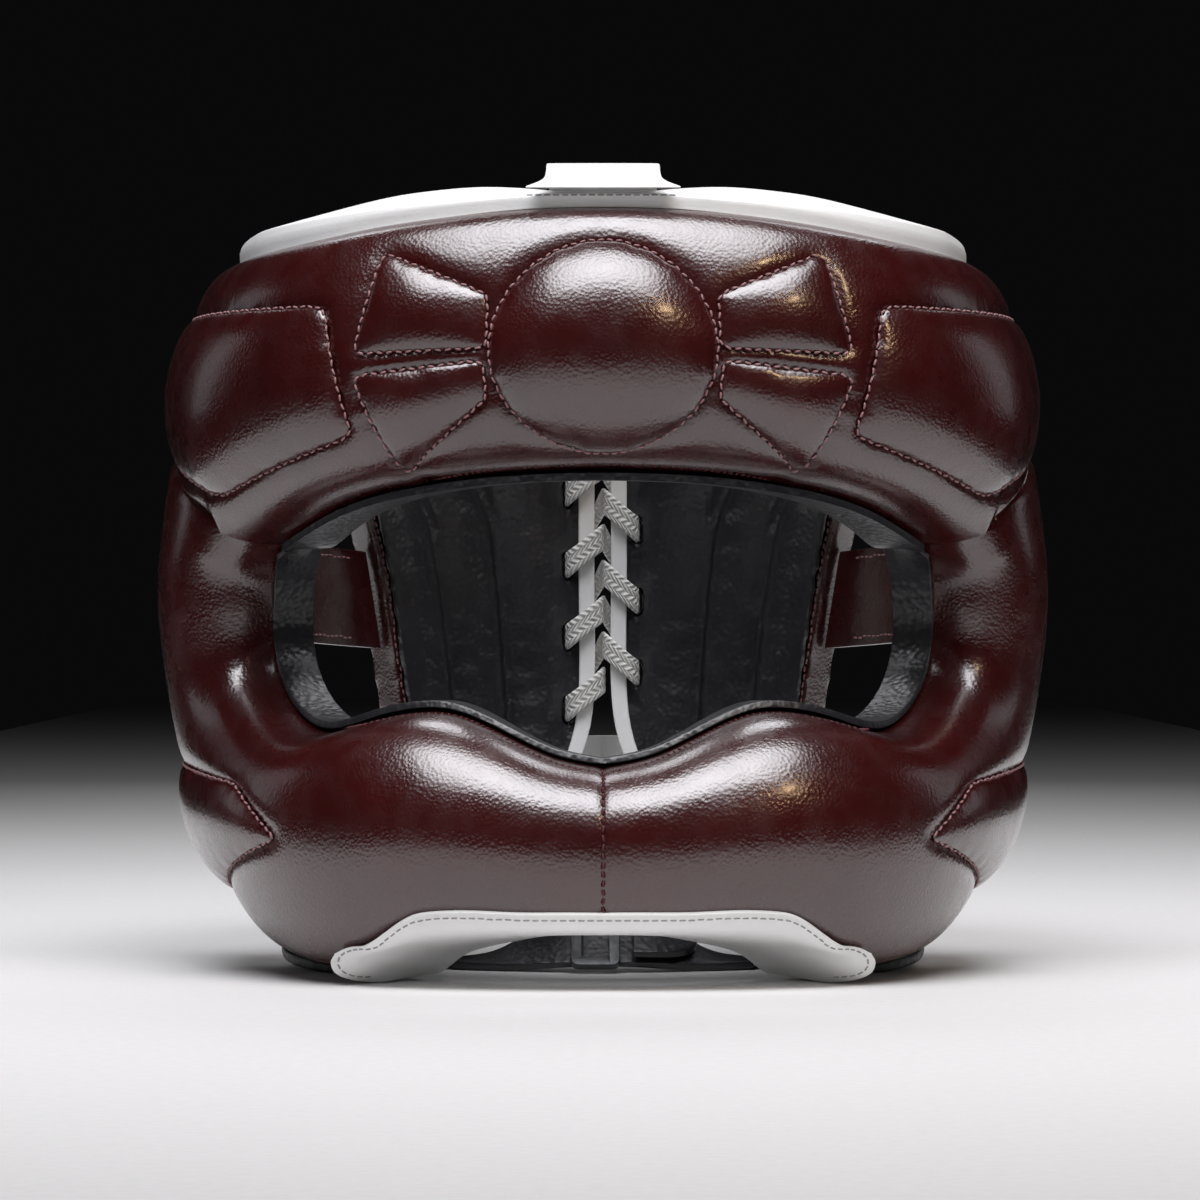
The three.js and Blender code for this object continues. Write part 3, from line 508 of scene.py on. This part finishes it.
def uneven(piece, size, height):
    """Slow swells in a padded skin, where the foam isn't quite even."""
    points, out = places(piece), outward(piece)
    swell = np.array([noise.noise(Vector(p / size)) for p in points])
    put(piece, points + out * (height * swell)[:, None])


def fill_cheek(piece):
    """Fills the hollow beside the eye opening, so that the cheek stands upright from brow to jaw."""
    points, out = places(piece), outward(piece)
    across = np.abs(points[:, 0])
    start = np.clip((across - CHEEK["rim"]) / (CHEEK["full"] - CHEEK["rim"]), 0, 1)
    share = start * start * (3 - 2 * start) * np.clip((CHEEK["side"] - across) / CHEEK["fade"], 0, 1)
    facing = np.clip(-out[:, 1] / CHEEK["facing"], 0, 1)
    share *= np.exp(-(((points[:, 2] - EYE_Z) / CHEEK["tall"]) ** 2)) * facing
    points[:, 1] -= CHEEK["fill"] * share
    put(piece, points)


def inflate(mesh, held, rounds=500):
    """Heights of a skin held at its rim and blown up evenly, from 0 at the rim to 1 at the crest."""
    pairs = np.array([edge.vertices for edge in mesh.edges])
    count = np.bincount(pairs.ravel(), minlength=len(held))
    height = np.zeros(len(held))
    for _ in range(rounds):
        pull = np.bincount(pairs[:, 0], height[pairs[:, 1]], len(held))
        pull += np.bincount(pairs[:, 1], height[pairs[:, 0]], len(held))
        height = np.where(held, 0, pull / count + 1)
    return height / height.max()


def sewn_pad(node, tree, crest, squareness):
    """A pad cut to its outline, blown up between its seams and laid on its panel."""
    ring = outline_of(node)
    low, high = ring.min(0), ring.max(0)
    middle, size = (low + high) / 2, high - low
    bpy.ops.object.select_all(action="DESELECT")
    bpy.ops.mesh.primitive_grid_add(
        x_subdivisions=round(size[0] / PAD_GRID) + 1,
        y_subdivisions=round(size[1] / PAD_GRID) + 1,
        size=1,
    )
    piece = bpy.context.object
    piece.name = piece.data.name = f"{node}_sewn"
    put(piece, places(piece) * [*size * PAD_SPARE, 1] + [*middle, 0])
    bpy.ops.object.mode_set(mode="EDIT")
    for here, there in zip(ring, np.roll(ring, -1, 0)):
        along = (there - here) / np.linalg.norm(there - here)
        select_all()
        bpy.ops.mesh.bisect(
            plane_co=(*here, 0), plane_no=(along[1], -along[0], 0), clear_outer=True
        )
    select_all()
    bpy.ops.mesh.remove_doubles(threshold=PAD_MERGE)
    bpy.ops.object.mode_set(mode="OBJECT")

    flat = places(piece)
    use = np.bincount([n for face in piece.data.polygons for n in face.vertices], minlength=len(flat))
    edges = {}
    for face in piece.data.polygons:
        for key in face.edge_keys:
            edges[key] = edges.get(key, 0) + 1
    held = np.zeros(len(flat), bool)
    held[[n for key, faces in edges.items() if faces == 1 for n in key]] = True
    held |= use == 0
    swell = inflate(piece.data, held) ** squareness
    depth, run = depth_in(flat[:, :2], ring)
    top = PAD_RIM + (crest - PAD_RIM) * swell - puckers(run, depth) * ~held

    editing(
        select_all,
        lambda: bpy.ops.mesh.extrude_region_move(TRANSFORM_OT_translate={"value": (0, 0, PAD_GRID)}),
    )
    flat3 = places(piece)
    nearest = {tuple(np.round(p[:2], 7)): h for p, h in zip(flat, top)}
    placed = np.empty_like(flat3)
    for n, (way, height, layer) in enumerate(flat3):
        place, out = frame_on_wrap(tree, way, height)
        rise = nearest[tuple(np.round((way, height), 7))] if layer > PAD_GRID / 2 else PAD_FOOT
        placed[n] = place + out * rise
    put(piece, placed)
    editing(select_all, lambda: bpy.ops.mesh.normals_make_consistent(inside=False))
    subdivide(piece, 1)
    bpy.ops.object.shade_smooth()
    return piece


# Stitches: one thread shape, modelled once and copied along a line
def thread_shape():
    """A stitch of unit length and girth along X, flat ended and sunk at both ends."""
    bpy.ops.object.select_all(action="DESELECT")
    bpy.ops.mesh.primitive_cylinder_add(
        vertices=6, radius=0.5, depth=1, end_fill_type="NGON", rotation=(0, math.pi / 2, 0)
    )
    shape = bpy.context.object
    bpy.ops.object.transform_apply(rotation=True)
    editing(
        select_all,
        lambda: bpy.ops.mesh.bisect(plane_co=(THREAD["shoulder"], 0, 0), plane_no=(1, 0, 0)),
        select_all,
        lambda: bpy.ops.mesh.bisect(plane_co=(-THREAD["shoulder"], 0, 0), plane_no=(1, 0, 0)),
    )
    points = places(shape)
    ends = np.abs(points[:, 0]) > (THREAD["shoulder"] + 0.5) / 2
    points[ends] = points[ends] * [1, THREAD["end"], THREAD["end"]] - [0, 0, THREAD["sink"]]
    faces = [tuple(face.vertices) for face in shape.data.polygons]
    bpy.data.objects.remove(shape)
    return points, faces


THREAD_POINTS, THREAD_FACES = thread_shape()


def sew(name, stations, size, material, slot, across=False, lean=0.0):
    """Stitches at stations of (place, out), along the line or across it."""
    spots = np.array([place for place, _ in stations])
    points, faces = [], []
    for n, (spot, out) in enumerate(stations):
        run = spots[min(n + 1, len(spots) - 1)] - spots[max(n - 1, 0)]
        run = run - out * run.dot(out)
        side = np.cross(out, run / np.linalg.norm(run))
        along = side if across else np.cross(side, out)
        along = along + np.cross(out, along) * lean * (1 if n % 2 else -1)
        along = along / np.linalg.norm(along)
        axes = np.array([along * size["length"], np.cross(out, along) * size["width"], out * size["width"]])
        faces += [[len(points) + k for k in face] for face in THREAD_FACES]
        points += list(spot + THREAD_POINTS @ axes)
    mesh = bpy.data.meshes.new(name)
    mesh.from_pydata(points, [], faces)
    piece = new_piece(name, mesh)
    editing(select_all, lambda: bpy.ops.mesh.normals_make_consistent(inside=False))
    bpy.ops.object.shade_smooth()
    return finished(piece, material, slot)


def seen(tree, x, z):
    """Where a level ray from the front meets a skin, and the direction out."""
    hit = tree.ray_cast(Vector((x, -FAR, z)), Vector((0, 1, 0)))
    return (None, None) if hit[0] is None else (np.array(hit[0]), np.array(hit[1]))


def smooth_frames(stations, passes=3):
    """The same stations with their directions evened along the line."""
    outs = np.array([out for _, out in stations])
    for _ in range(passes):
        padded = np.vstack([outs[:1], outs, outs[-1:]])
        outs = padded[:-2] + 2 * padded[1:-1] + padded[2:]
        outs /= np.linalg.norm(outs, axis=1)[:, None]
    return [(place, out) for (place, _), out in zip(stations, outs)]


def even_stations(stations, pitch):
    """Stations at an even pitch along a line of stations."""
    table = np.array([np.concatenate(station) for station in stations])
    run = np.concatenate([[0], np.cumsum(np.linalg.norm(np.diff(table[:, :3], axis=0), axis=1))])
    marks = np.arange(pitch / 2, run[-1], pitch)
    rows = np.column_stack([np.interp(marks, run, column) for column in table.T])
    return [(row[:3], row[3:] / np.linalg.norm(row[3:])) for row in rows]


# Panels, their pads and the stitching round each pad
panels = {}
sewn_on = {}
for node in ["forehead_panel", *both("face_panel")]:
    panels[node] = smooth_skin(node, 3, PANEL_EDGE)
    uneven(panels[node], WAVE_SIZE, WAVE_HEIGHT)
for node in both("face_panel"):
    fill_cheek(panels[node])
forehead_tree = tree_of(panels["forehead_panel"])
bar_trees = [tree_of(panels[node]) for node in both("face_panel")]
for node, other in zip(both("face_panel"), reversed(bar_trees)):
    close_seam(panels[node], forehead_tree)
    close_seam(panels[node], other, reach=BAR_REACH)
for name, pad in PADS.items():
    for node in [name] if name == "round_pad" else both(name):
        side = node.rsplit("_", 1)[1]
        panel = pad["panel"] if pad["panel"] in panels else f"{pad['panel']}_{side}"
        sewn_on.setdefault(panel, []).append((node, pad))
for panel, sewn in sewn_on.items():
    free_face = tree_of(panels[panel])
    press_outlines(panels[panel], [outline_of(node) for node, _ in sewn])
    for node, pad in sewn:
        piece = sewn_pad(node, free_face, pad["crest"], pad["squareness"])
        finished(piece, OXBLOOD, "oxblood_leather", node, fill=0.8)
        line = spaced(outline_of(node), STITCH["pitch"], closed=True)
        stations = []
        for way, height in line:
            place, out = frame_on_wrap(free_face, way, height)
            stations.append((np.array(place + out * (PAD_RIM + PAD_STITCH_RISE)), np.array(out)))
        sew(f"{node}_stitches", stations, STITCH, OXBLOOD_THREAD, "oxblood_leather", lean=0.22)
for node, piece in panels.items():
    finished(piece, OXBLOOD, "oxblood_leather", node, fill=0.9)
rear = {}
for node in both("rear_panel"):
    rear[node] = even_skin(node, **REAR_SKIN, levels=2)
    uneven(rear[node], WAVE_SIZE, WAVE_HEIGHT)
    finished(rear[node], OXBLOOD, "oxblood_leather", node, fill=0.8)


def press_channels(piece):
    """Draws the rear lining in along the seams between its ribs, which part its width evenly."""
    points, out = places(piece), outward(piece)
    way = np.abs(to_wrap(points)[:, 0])
    levels = np.arange(points[:, 2].min(), points[:, 2].max(), CHANNELS["step"])
    spans = [way[np.abs(points[:, 2] - level) < CHANNELS["step"]] for level in levels]
    first = np.interp(points[:, 2], levels, [span.min() for span in spans])
    last = np.interp(points[:, 2], levels, [span.max() for span in spans])
    last -= (last - first) * CHANNELS["margin"]
    radial = points - np.array([0, AXIS_Y, 0])
    inner = out[:, 0] * radial[:, 0] + out[:, 1] * radial[:, 1] < 0
    drop = np.zeros(len(points))
    for n in range(1, CHANNELS["count"]):
        off = way - (first + (last - first) * n / CHANNELS["count"])
        drop += CHANNELS["depth"] * np.exp(-((off / CHANNELS["width"]) ** 2))
    put(piece, points - out * (drop * inner)[:, None])


def shape_chin(piece, under):
    """Fills out the ends of the chin binding to a round nose over the leather, with a soft fold in each."""
    points, out = places(piece), outward(piece)
    flat = np.column_stack([np.abs(points[:, 0]), points[:, 2]]) - CHIN_END["middle"]
    turn = np.arctan2(flat[:, 1], np.maximum(flat[:, 0], 0))
    ease = np.clip(1 + flat[:, 0] / (CHIN_END["middle"][0] - CHIN_END["start"]), 0, 1)
    outside = np.zeros(len(points), bool)
    for n in np.flatnonzero(ease > 0):
        spot, _ = seen(under, points[n, 0], points[n, 2])
        outside[n] = spot is None or points[n, 1] < spot[1] + CHIN_REACH
    end = outside & (flat[:, 0] > 0)
    marks = np.radians(np.arange(-90, 91, CHIN_MARKS["step"]))
    spread = math.radians(CHIN_MARKS["spread"])
    away = np.linalg.norm(flat, axis=1)
    far = [away[end & (np.abs(turn - mark) < spread)].max() for mark in marks]
    aim = 1 / np.hypot(np.cos(marks) / CHIN_END["reach"][0], np.sin(marks) / CHIN_END["reach"][1])
    grow = np.interp(turn, marks, aim / np.array(far))
    grow = 1 + (grow - 1) * ease * ease * (3 - 2 * ease) * outside
    points[:, 0] += np.sign(points[:, 0]) * np.maximum(flat[:, 0], 0) * (grow - 1)
    points[:, 2] += flat[:, 1] * (grow - 1)
    for n in np.flatnonzero(outside):
        spot, _ = seen(under, points[n, 0], points[n, 2])
        if spot is not None:
            proud = CHIN_OVER["most"] * np.clip(CHIN_OVER["turn"] - out[n, 1], CHIN_OVER["least"], 1)
            points[n, 1] = min(points[n, 1], spot[1] - proud)
    put(piece, points)
    for face in piece.data.polygons:
        face.select = abs(face.center.x) > CHIN_END["start"] - CHIN_EVEN["before"]
    for vertex, share in zip(piece.data.vertices, ease):
        vertex.select = bool(share > CHIN_EVEN["share"])
    only(piece)
    editing(
        lambda: bpy.ops.mesh.select_mode(type="VERT"),
        lambda: bpy.ops.mesh.vertices_smooth(factor=0.5, repeat=CHIN_EVEN["passes"]),
    )
    points, out = places(piece), outward(piece)
    flat = np.column_stack([np.abs(points[:, 0]), points[:, 2]]) - CHIN_FOLD["from"]
    run = CHIN_FOLD["to"] - CHIN_FOLD["from"]
    along = flat @ run / (run @ run)
    off = (run[0] * flat[:, 1] - run[1] * flat[:, 0]) / np.linalg.norm(run)
    fade = np.clip(along / CHIN_FOLD["fade_in"] + 0.5, 0, 1)
    fade *= np.clip((1 - along) / CHIN_FOLD["fade_out"], 0, 1)
    fade *= np.clip(-out[:, 1] / CHIN_FOLD["facing"], 0, 1)
    fold = CHIN_FOLD["depth"] * np.exp(-((off / CHIN_FOLD["width"]) ** 2)) * fade
    put(piece, points - out * fold[:, None])


def round_tongue(piece):
    """Cuts the corners of the tongue round, each point sliding round the head or up and down."""
    points = places(piece)
    turn = np.arctan2(points[:, 0], points[:, 1] - AXIS_Y)
    away = np.hypot(points[:, 0], points[:, 1] - AXIS_Y)
    low, high = points[:, 2].min(), points[:, 2].max()
    inside = np.column_stack([
        (np.abs(turn).max() - np.abs(turn)) * away,
        np.minimum(points[:, 2] - low, high - points[:, 2]),
    ])
    from_middle = np.maximum(TONGUE_CORNER - inside, 0)
    length = np.maximum(np.linalg.norm(from_middle, axis=1), 1e-9)
    step = from_middle * (1 - from_middle.max(1) / length)[:, None]
    turn -= np.sign(turn) * step[:, 0] / away
    points[:, 0] = away * np.sin(turn)
    points[:, 1] = AXIS_Y + away * np.cos(turn)
    points[:, 2] -= np.sign(points[:, 2] - (low + high) / 2) * step[:, 1]
    put(piece, points)


def tongue_line(piece):
    """Stations round the back of the tongue, inside its edge."""
    points, tree = places(piece), tree_of(piece)
    half = WRAP * np.arctan2(points[:, 0], points[:, 1] - AXIS_Y).max() - TONGUE_INSET
    low, high = points[:, 2].min() + TONGUE_INSET, points[:, 2].max() - TONGUE_INSET
    bend = TONGUE_CORNER - TONGUE_INSET
    corners = [
        (1, low + bend, -90),
        (1, high - bend, 0),
        (-1, high - bend, 90),
        (-1, low + bend, 180),
    ]
    ring = []
    for side, height, first in corners:
        for turn in np.radians(first + np.arange(0, 91, 15)):
            ring.append((side * (half - bend) + bend * math.cos(turn), height + bend * math.sin(turn)))
    stations = []
    for way, height in spaced(ring, STITCH["pitch"], closed=True):
        place, out = frame_on_wrap(tree, math.pi * WRAP - way, height, reach=1 * MM)
        stations.append((np.array(place), np.array(out)))
    return stations


# Lining, straps and trim
lining = {node: smooth_skin(node, 2, TRIM_EDGE) for node in ["forehead_lining", *both("face_lining")]}
brow_tree = tree_of(lining["forehead_lining"])
cheek_trees = [tree_of(lining[node]) for node in both("face_lining")]
for node, other in zip(both("face_lining"), reversed(cheek_trees)):
    close_seam(lining[node], brow_tree, reach=LINING_REACH)
    close_seam(lining[node], other)
for node in both("rear_lining"):
    lining[node] = even_skin(node, **LINING_SKIN)
    press_channels(lining[node])
    uneven(lining[node], CREASE_SIZE, CREASE_HEIGHT)
for node, piece in lining.items():
    finished(piece, LINING, "black_leather", node, fill=0.6 if "rear" in node else 0.3)
flaps = {node: smooth_skin(node, 2, TRIM_EDGE) for node in both("chin_flap")}
for node, piece in flaps.items():
    finished(piece, LINING, "black_leather", node, fill=0.3)
for node in ("chin_strap", "strap_tail"):
    finished(smooth_skin(node, 2, TRIM_EDGE), LINING, "black_leather", node)
straps = {node: smooth_skin(node, 2, TRIM_EDGE) for node in both("ear_strap")}
for node, piece in straps.items():
    finished(piece, OXBLOOD, "oxblood_leather", node)
trim = {}
for node in ["crown_facing_front", *both("crown_facing"), "crown_strap", "tongue", "chin_binding",
             *both("lace_edge"), *both("chin_facing")]:
    trim[node] = smooth_skin(node, 3 if node in ("chin_binding", "tongue") else 2, TRIM_EDGE)
round_tongue(trim["tongue"])
sew("tongue_stitches", tongue_line(trim["tongue"]), RIM_STITCH, GREY_THREAD, "white_leather")
close_seam(trim["crown_facing_front"], forehead_tree)
for tree in bar_trees:
    close_seam(trim["chin_binding"], tree, reach=BINDING_REACH)
bar_halves = [panels[node] for node in both("face_panel")]
shape_chin(trim["chin_binding"], tree_of(*bar_halves, *flaps.values()))
for node, piece in trim.items():
    finished(piece, TRIM, "white_leather", node)
buckle = copied("strap_buckle")
apply(buckle, "BEVEL", width=BUCKLE_EDGE, segments=3, limit_method="ANGLE")
bpy.ops.object.shade_smooth_by_angle(angle=math.radians(40))
finished(buckle, GUNMETAL, "gunmetal", "strap_buckle")

# The lace climbs from hole to hole, left and right in turn; in millimetres
LACE = {"holes": 11, "first": 66, "pitch": 10.5, "x": 10.4, "drop": 8.5, "width": 7.6, "thick": 1.3}
LACE_BRAID = {"step": 1.2, "rows": 9, "ridges": 3, "ridge": 0.28}
LACE_CUT = 0.2  # each corner of its way is cut off by this share
LACE_BACKS = {62: 97.3, 100: 100, 130: 100, 160: 98, 190: 92}  # how far back the head reaches, by height
LACE_LEVELS = {"outside": 21, "inside": -0.4}  # the lace's middle beyond that, either side of the leather


def lace_route():
    """The corners of the lace's way, in metres."""
    route = []
    for n in range(LACE["holes"]):
        z = LACE["first"] + n * LACE["pitch"]
        side = 1 if n % 2 else -1
        for x, level, up in (
            (0, "outside", LACE["drop"]),
            (0, "inside", LACE["drop"]),
            (side * LACE["x"], "inside", 0),
            (side * LACE["x"], "outside", 0),
        ):
            back = np.interp(z + up, list(LACE_BACKS), list(LACE_BACKS.values()))
            route.append(np.array([x * MM, AXIS_Y + (back + LACE_LEVELS[level]) * MM, (z + up) * MM]))
    return np.array(route)


def rounded_way(corners, passes=3):
    """A line with its corners cut off and cut again."""
    line = corners
    for _ in range(passes):
        cuts = [
            (1 - LACE_CUT) * line[:-1] + LACE_CUT * line[1:],
            LACE_CUT * line[:-1] + (1 - LACE_CUT) * line[1:],
        ]
        inner = np.stack(cuts, axis=1).reshape(-1, 3)
        line = np.vstack([line[:1], inner, line[-1:]])
    return line


def flat_lace():
    """A braided ribbon with ridges along it, laid along its way with its width upright."""
    way = spaced(rounded_way(lace_route()), LACE_BRAID["step"] * MM, closed=False)
    bpy.ops.object.select_all(action="DESELECT")
    bpy.ops.mesh.primitive_grid_add(
        x_subdivisions=len(way) - 1,
        y_subdivisions=LACE_BRAID["rows"],
        size=1,
    )
    piece = bpy.context.object
    piece.name = piece.data.name = "lace_braid"
    grid = places(piece)
    column = np.round((grid[:, 0] + 0.5) * (len(way) - 1)).astype(int)
    run = np.gradient(way, axis=0)
    flat = np.column_stack([-run[:, 1], run[:, 0], np.zeros(len(run))])
    flat /= np.linalg.norm(flat, axis=1)[:, None] + 1e-9
    wave = np.sin(LACE_BRAID["ridges"] * math.pi * (grid[:, 1] + 0.5))
    ridge = LACE_BRAID["ridge"] * MM * np.abs(wave)
    up = np.array([0, 0, LACE["width"] * MM])
    put(piece, way[column] + grid[:, 1:2] * up + flat[column] * ridge[:, None])
    length = np.concatenate([[0], np.cumsum(np.linalg.norm(np.diff(way, axis=0), axis=1))]) / MM
    chart = piece.data.uv_layers.active
    chart.name = "run"
    for corner, uv in zip(piece.data.loops, chart.data):
        n = corner.vertex_index
        uv.uv = (length[column[n]], grid[n, 1] + 0.5)
    apply(piece, "SOLIDIFY", thickness=LACE["thick"] * MM, offset=0.0)
    subdivide(piece, 1)
    editing(select_all, lambda: bpy.ops.mesh.normals_make_consistent(inside=False))
    bpy.ops.object.shade_smooth()
    return piece


finished(flat_lace(), LACE_COTTON, "lace_cotton", "lace")

# Overlock ticks round the eye opening, where the leather turns in to the lining
leather_tree = tree_of(*panels.values())


def eye_rim(count=420):
    """Stations on the leather at the edge of the eye opening, found by closing in along each direction."""
    stations = []
    for turn in np.linspace(0, math.tau, count):
        inside, outside = 0.0, EYE_REACH
        for _ in range(14):
            middle = (inside + outside) / 2
            place, _ = seen(leather_tree, middle * math.cos(turn), EYE_Z + middle * math.sin(turn))
            if place is None or place[1] > BACK_FROM:
                inside = middle
            else:
                outside = middle
        reach = outside + RIM_INSET
        place, out = seen(leather_tree, reach * math.cos(turn), EYE_Z + reach * math.sin(turn))
        stations.append((place, out))
    return smooth_frames(stations, 4)


rim = even_stations(eye_rim(), RIM_STITCH["pitch"])
sew("eye_rim_stitches", rim, RIM_STITCH, DARK_THREAD, "oxblood_leather", across=True, lean=0.15)

# Dark stitches down the middle of the face bar, and grey ones along the white trim
bar_tree = tree_of(*bar_halves)
seam = []
for z in np.arange(*BAR_SEAM_HEIGHTS) * MM:
    sides = [seen(bar_tree, x, z) for x in (-BAR_SEAM_SIDE, BAR_SEAM_SIDE)]
    place = (sides[0][0] + sides[1][0]) / 2
    seam.append((place - [0, BAR_SEAM_RISE, 0], np.array([0.0, -1.0, 0.0])))
seam = even_stations(seam, STITCH["pitch"])
sew("bar_seam_stitches", seam, STITCH, DARK_THREAD, "oxblood_leather", lean=0.2)


def white_shows(x, z):
    """Whether the chin binding, seen from the front, lies before the bar here."""
    on_trim, _ = seen(binding_tree, x, z)
    on_bar, _ = seen(bar_tree, x, z)
    return on_trim is not None and (on_bar is None or on_trim[1] < on_bar[1])


def binding_line(x):
    """A station on the chin binding, a little below its upper edge."""
    for z in np.arange(*BINDING_HEIGHTS) * MM:
        if white_shows(x, z):
            return seen(binding_tree, x, z - CHIN_INSET)
    return None, None


def binding_corner(side, turn):
    """A station just inside the white edge, in a direction from the middle of a chin corner."""
    aim = np.array([side * math.cos(turn), math.sin(turn)])
    middle = CHIN_MIDDLE * [side, 1]
    inside, outside = 0.0, CHIN_SPAN
    for _ in range(12):
        reach = (inside + outside) / 2
        if white_shows(*(middle + aim * reach)):
            inside = reach
        else:
            outside = reach
    return seen(binding_tree, *(middle + aim * (inside - CHIN_INSET)))


binding_tree = tree_of(trim["chin_binding"])
turns = np.radians(np.arange(*CORNER_TURNS))
line = [binding_corner(-1, turn) for turn in turns[::-1]]
line += [binding_line(x * MM) for x in np.arange(*BINDING_WAYS)]
line += [binding_corner(1, turn) for turn in turns]
line = smooth_frames([station for station in line if station[0] is not None])
sew("chin_stitches", even_stations(line, STITCH["pitch"]), RIM_STITCH, GREY_THREAD, "white_leather")
tab_tree = tree_of(trim["crown_facing_front"], trim["crown_strap"])
line = [seen(tab_tree, x * MM, CROWN_STITCH_Z) for x in np.arange(*CROWN_WAYS)]
line = smooth_frames([station for station in line if station[0] is not None])
sew("crown_stitches", even_stations(line, STITCH["pitch"]), RIM_STITCH, GREY_THREAD, "white_leather")


def inner_face(tree, turn, height):
    """Where a level ray from the head's axis meets a skin, and the direction back to the axis."""
    away = Vector((math.sin(turn), -math.cos(turn), 0))
    hit = tree.ray_cast(Vector((0, AXIS_Y, height)), away)[0]
    return (None, None) if hit is None else (np.array(hit), -np.array(away))


def strap_edge(tree, side, inset):
    """Stations on the inner face of an ear strap, inset down from its upper edge or, below 0, up."""
    stations = []
    for turn in np.radians(np.arange(*STRAP_TURNS)) * side:
        tried = np.arange(*STRAP_HEIGHTS) * MM
        heights = [z for z in tried if inner_face(tree, turn, z)[0] is not None]
        if heights:
            edge = heights[0] if inset < 0 else heights[-1]
            stations.append(inner_face(tree, turn, edge - inset))
    return [station for station in stations if station[0] is not None]


def rear_edge(panel, cover, side):
    """Stations on the rolled front edge of a rear panel, beside its lining."""
    stations = []
    for z in np.arange(*REAR_HEIGHTS) * MM:
        for x in np.arange(*REAR_WAYS) * MM:
            on_cover, _ = seen(cover, side * x, z)
            on_panel, _ = seen(panel, side * x, z)
            if on_cover is not None and on_panel is not None and on_cover[1] < on_panel[1]:
                stations.append(seen(panel, side * (x + RIM_INSET), z))
                break
    return smooth_frames([station for station in stations if station[0] is not None])


for name, side in zip(SIDES, (-1, 1)):
    strap_tree = tree_of(straps[f"ear_strap_{name}"])
    for edge, inset in (("upper", STRAP_INSET), ("lower", -STRAP_INSET)):
        line = even_stations(strap_edge(strap_tree, side, inset), STITCH["pitch"])
        sew(f"ear_strap_{edge}_stitches_{name}", line, STITCH, OXBLOOD_THREAD, "oxblood_leather")
    cover = tree_of(lining[f"rear_lining_{name}"])
    line = rear_edge(tree_of(rear[f"rear_panel_{name}"]), cover, side)
    line = even_stations(line, STITCH["pitch"])
    sew(f"rear_edge_stitches_{name}", line, STITCH, OXBLOOD_THREAD, "oxblood_leather")

# Floor, light and camera
STAGE = {"floor": (0.9, 4.8), "floor_middle": 1.6, "light_spread": 100}
CAMERA = {"at": (-0.8 * MM, -1.5, 0.098), "lens": 165, "sensor": 36}


def pale_floor():
    """Matt pale paper sweep."""
    made, tree, shader = new_material("pale_paper", Roughness=0.7)
    place = add_node(tree, "ShaderNodeTexCoord").outputs["Object"]
    fibre = add_node(tree, "ShaderNodeTexNoise", Vector=place, Scale=per_mm(3), Detail=3.0).outputs["Fac"]
    colour = add_node(tree, "ShaderNodeMix", {"data_type": "RGBA"}, _0=fibre,
                      _6=linear("#d6d5d4"), _7=linear("#e2e1e0")).outputs[2]
    tree.links.new(colour, shader.inputs["Base Color"])
    return made


bpy.ops.object.select_all(action="DESELECT")
bpy.ops.mesh.primitive_plane_add(size=1, location=(0, STAGE["floor_middle"], 0))
bpy.ops.transform.resize(value=(*STAGE["floor"], 1))
bpy.ops.object.transform_apply(location=True, scale=True)
floor = bpy.context.object
floor.name = "floor"
floor.data.materials.append(pale_floor())

# Softboxes: place, size across and along, power in watts, colour
LIGHTS = {
    "overhead_softbox": {"at": (0, -0.45, 1.3), "size": (1.3, 0.9), "power": 9.5, "colour": "#fbfbff"},
    "left_softbox": {"at": (-1.0, 0.45, 0.4), "size": (0.25, 0.5), "power": 0.05, "colour": "#f6f9ff"},
    "right_softbox": {"at": (1.0, 0.45, 0.4), "size": (0.25, 0.5), "power": 0.05, "colour": "#f6f9ff"},
    "left_fill": {"at": (-0.6, -1.6, 0.4), "size": (0.4, 0.4), "power": 0.42, "colour": "#ffffff"},
    "right_fill": {"at": (0.6, -1.6, 0.4), "size": (0.4, 0.4), "power": 0.42, "colour": "#ffffff"},
    "rear_softbox": {"at": (0, 0.9, 1.2), "size": (1.2, 0.5), "power": 2.0, "colour": "#fbfbff"},
    "rear_fill": {"at": (0, 1.6, 0.4), "size": (0.6, 0.4), "power": 0.5, "colour": "#ffffff"},
    "warm_lamp": {"at": (0.75, -0.9, 0.95), "size": (0.09, 0.09), "power": 0.35, "colour": "#ffd9a8"},
}
AIM = Vector((0, 0, 0.1))
for name, light in LIGHTS.items():
    bpy.ops.object.light_add(type="AREA", location=light["at"])
    lamp = bpy.context.object
    lamp.name = name
    lamp.data.shape = "RECTANGLE"
    lamp.data.size, lamp.data.size_y = light["size"]
    lamp.data.energy = light["power"]
    lamp.data.spread = math.radians(STAGE["light_spread"])
    lamp.data.color = linear(light["colour"])[:3]
    lamp.visible_glossy = "fill" not in name
    lamp.rotation_euler = (AIM - lamp.location).to_track_quat("-Z", "Y").to_euler()

world = bpy.data.worlds.new("dark_studio")
world.use_nodes = True
world.node_tree.nodes["Background"].inputs["Color"].default_value = linear("#1c1c1e")
world.node_tree.nodes["Background"].inputs["Strength"].default_value = 0.25
bpy.context.scene.world = world
bpy.context.scene.view_settings.view_transform = "Standard"

bpy.ops.object.camera_add(location=CAMERA["at"], rotation=(math.pi / 2, 0, 0))
camera = bpy.context.object
camera.data.lens = CAMERA["lens"]
camera.data.sensor_width = CAMERA["sensor"]
camera.data.dof.use_dof = False
bpy.context.scene.camera = camera
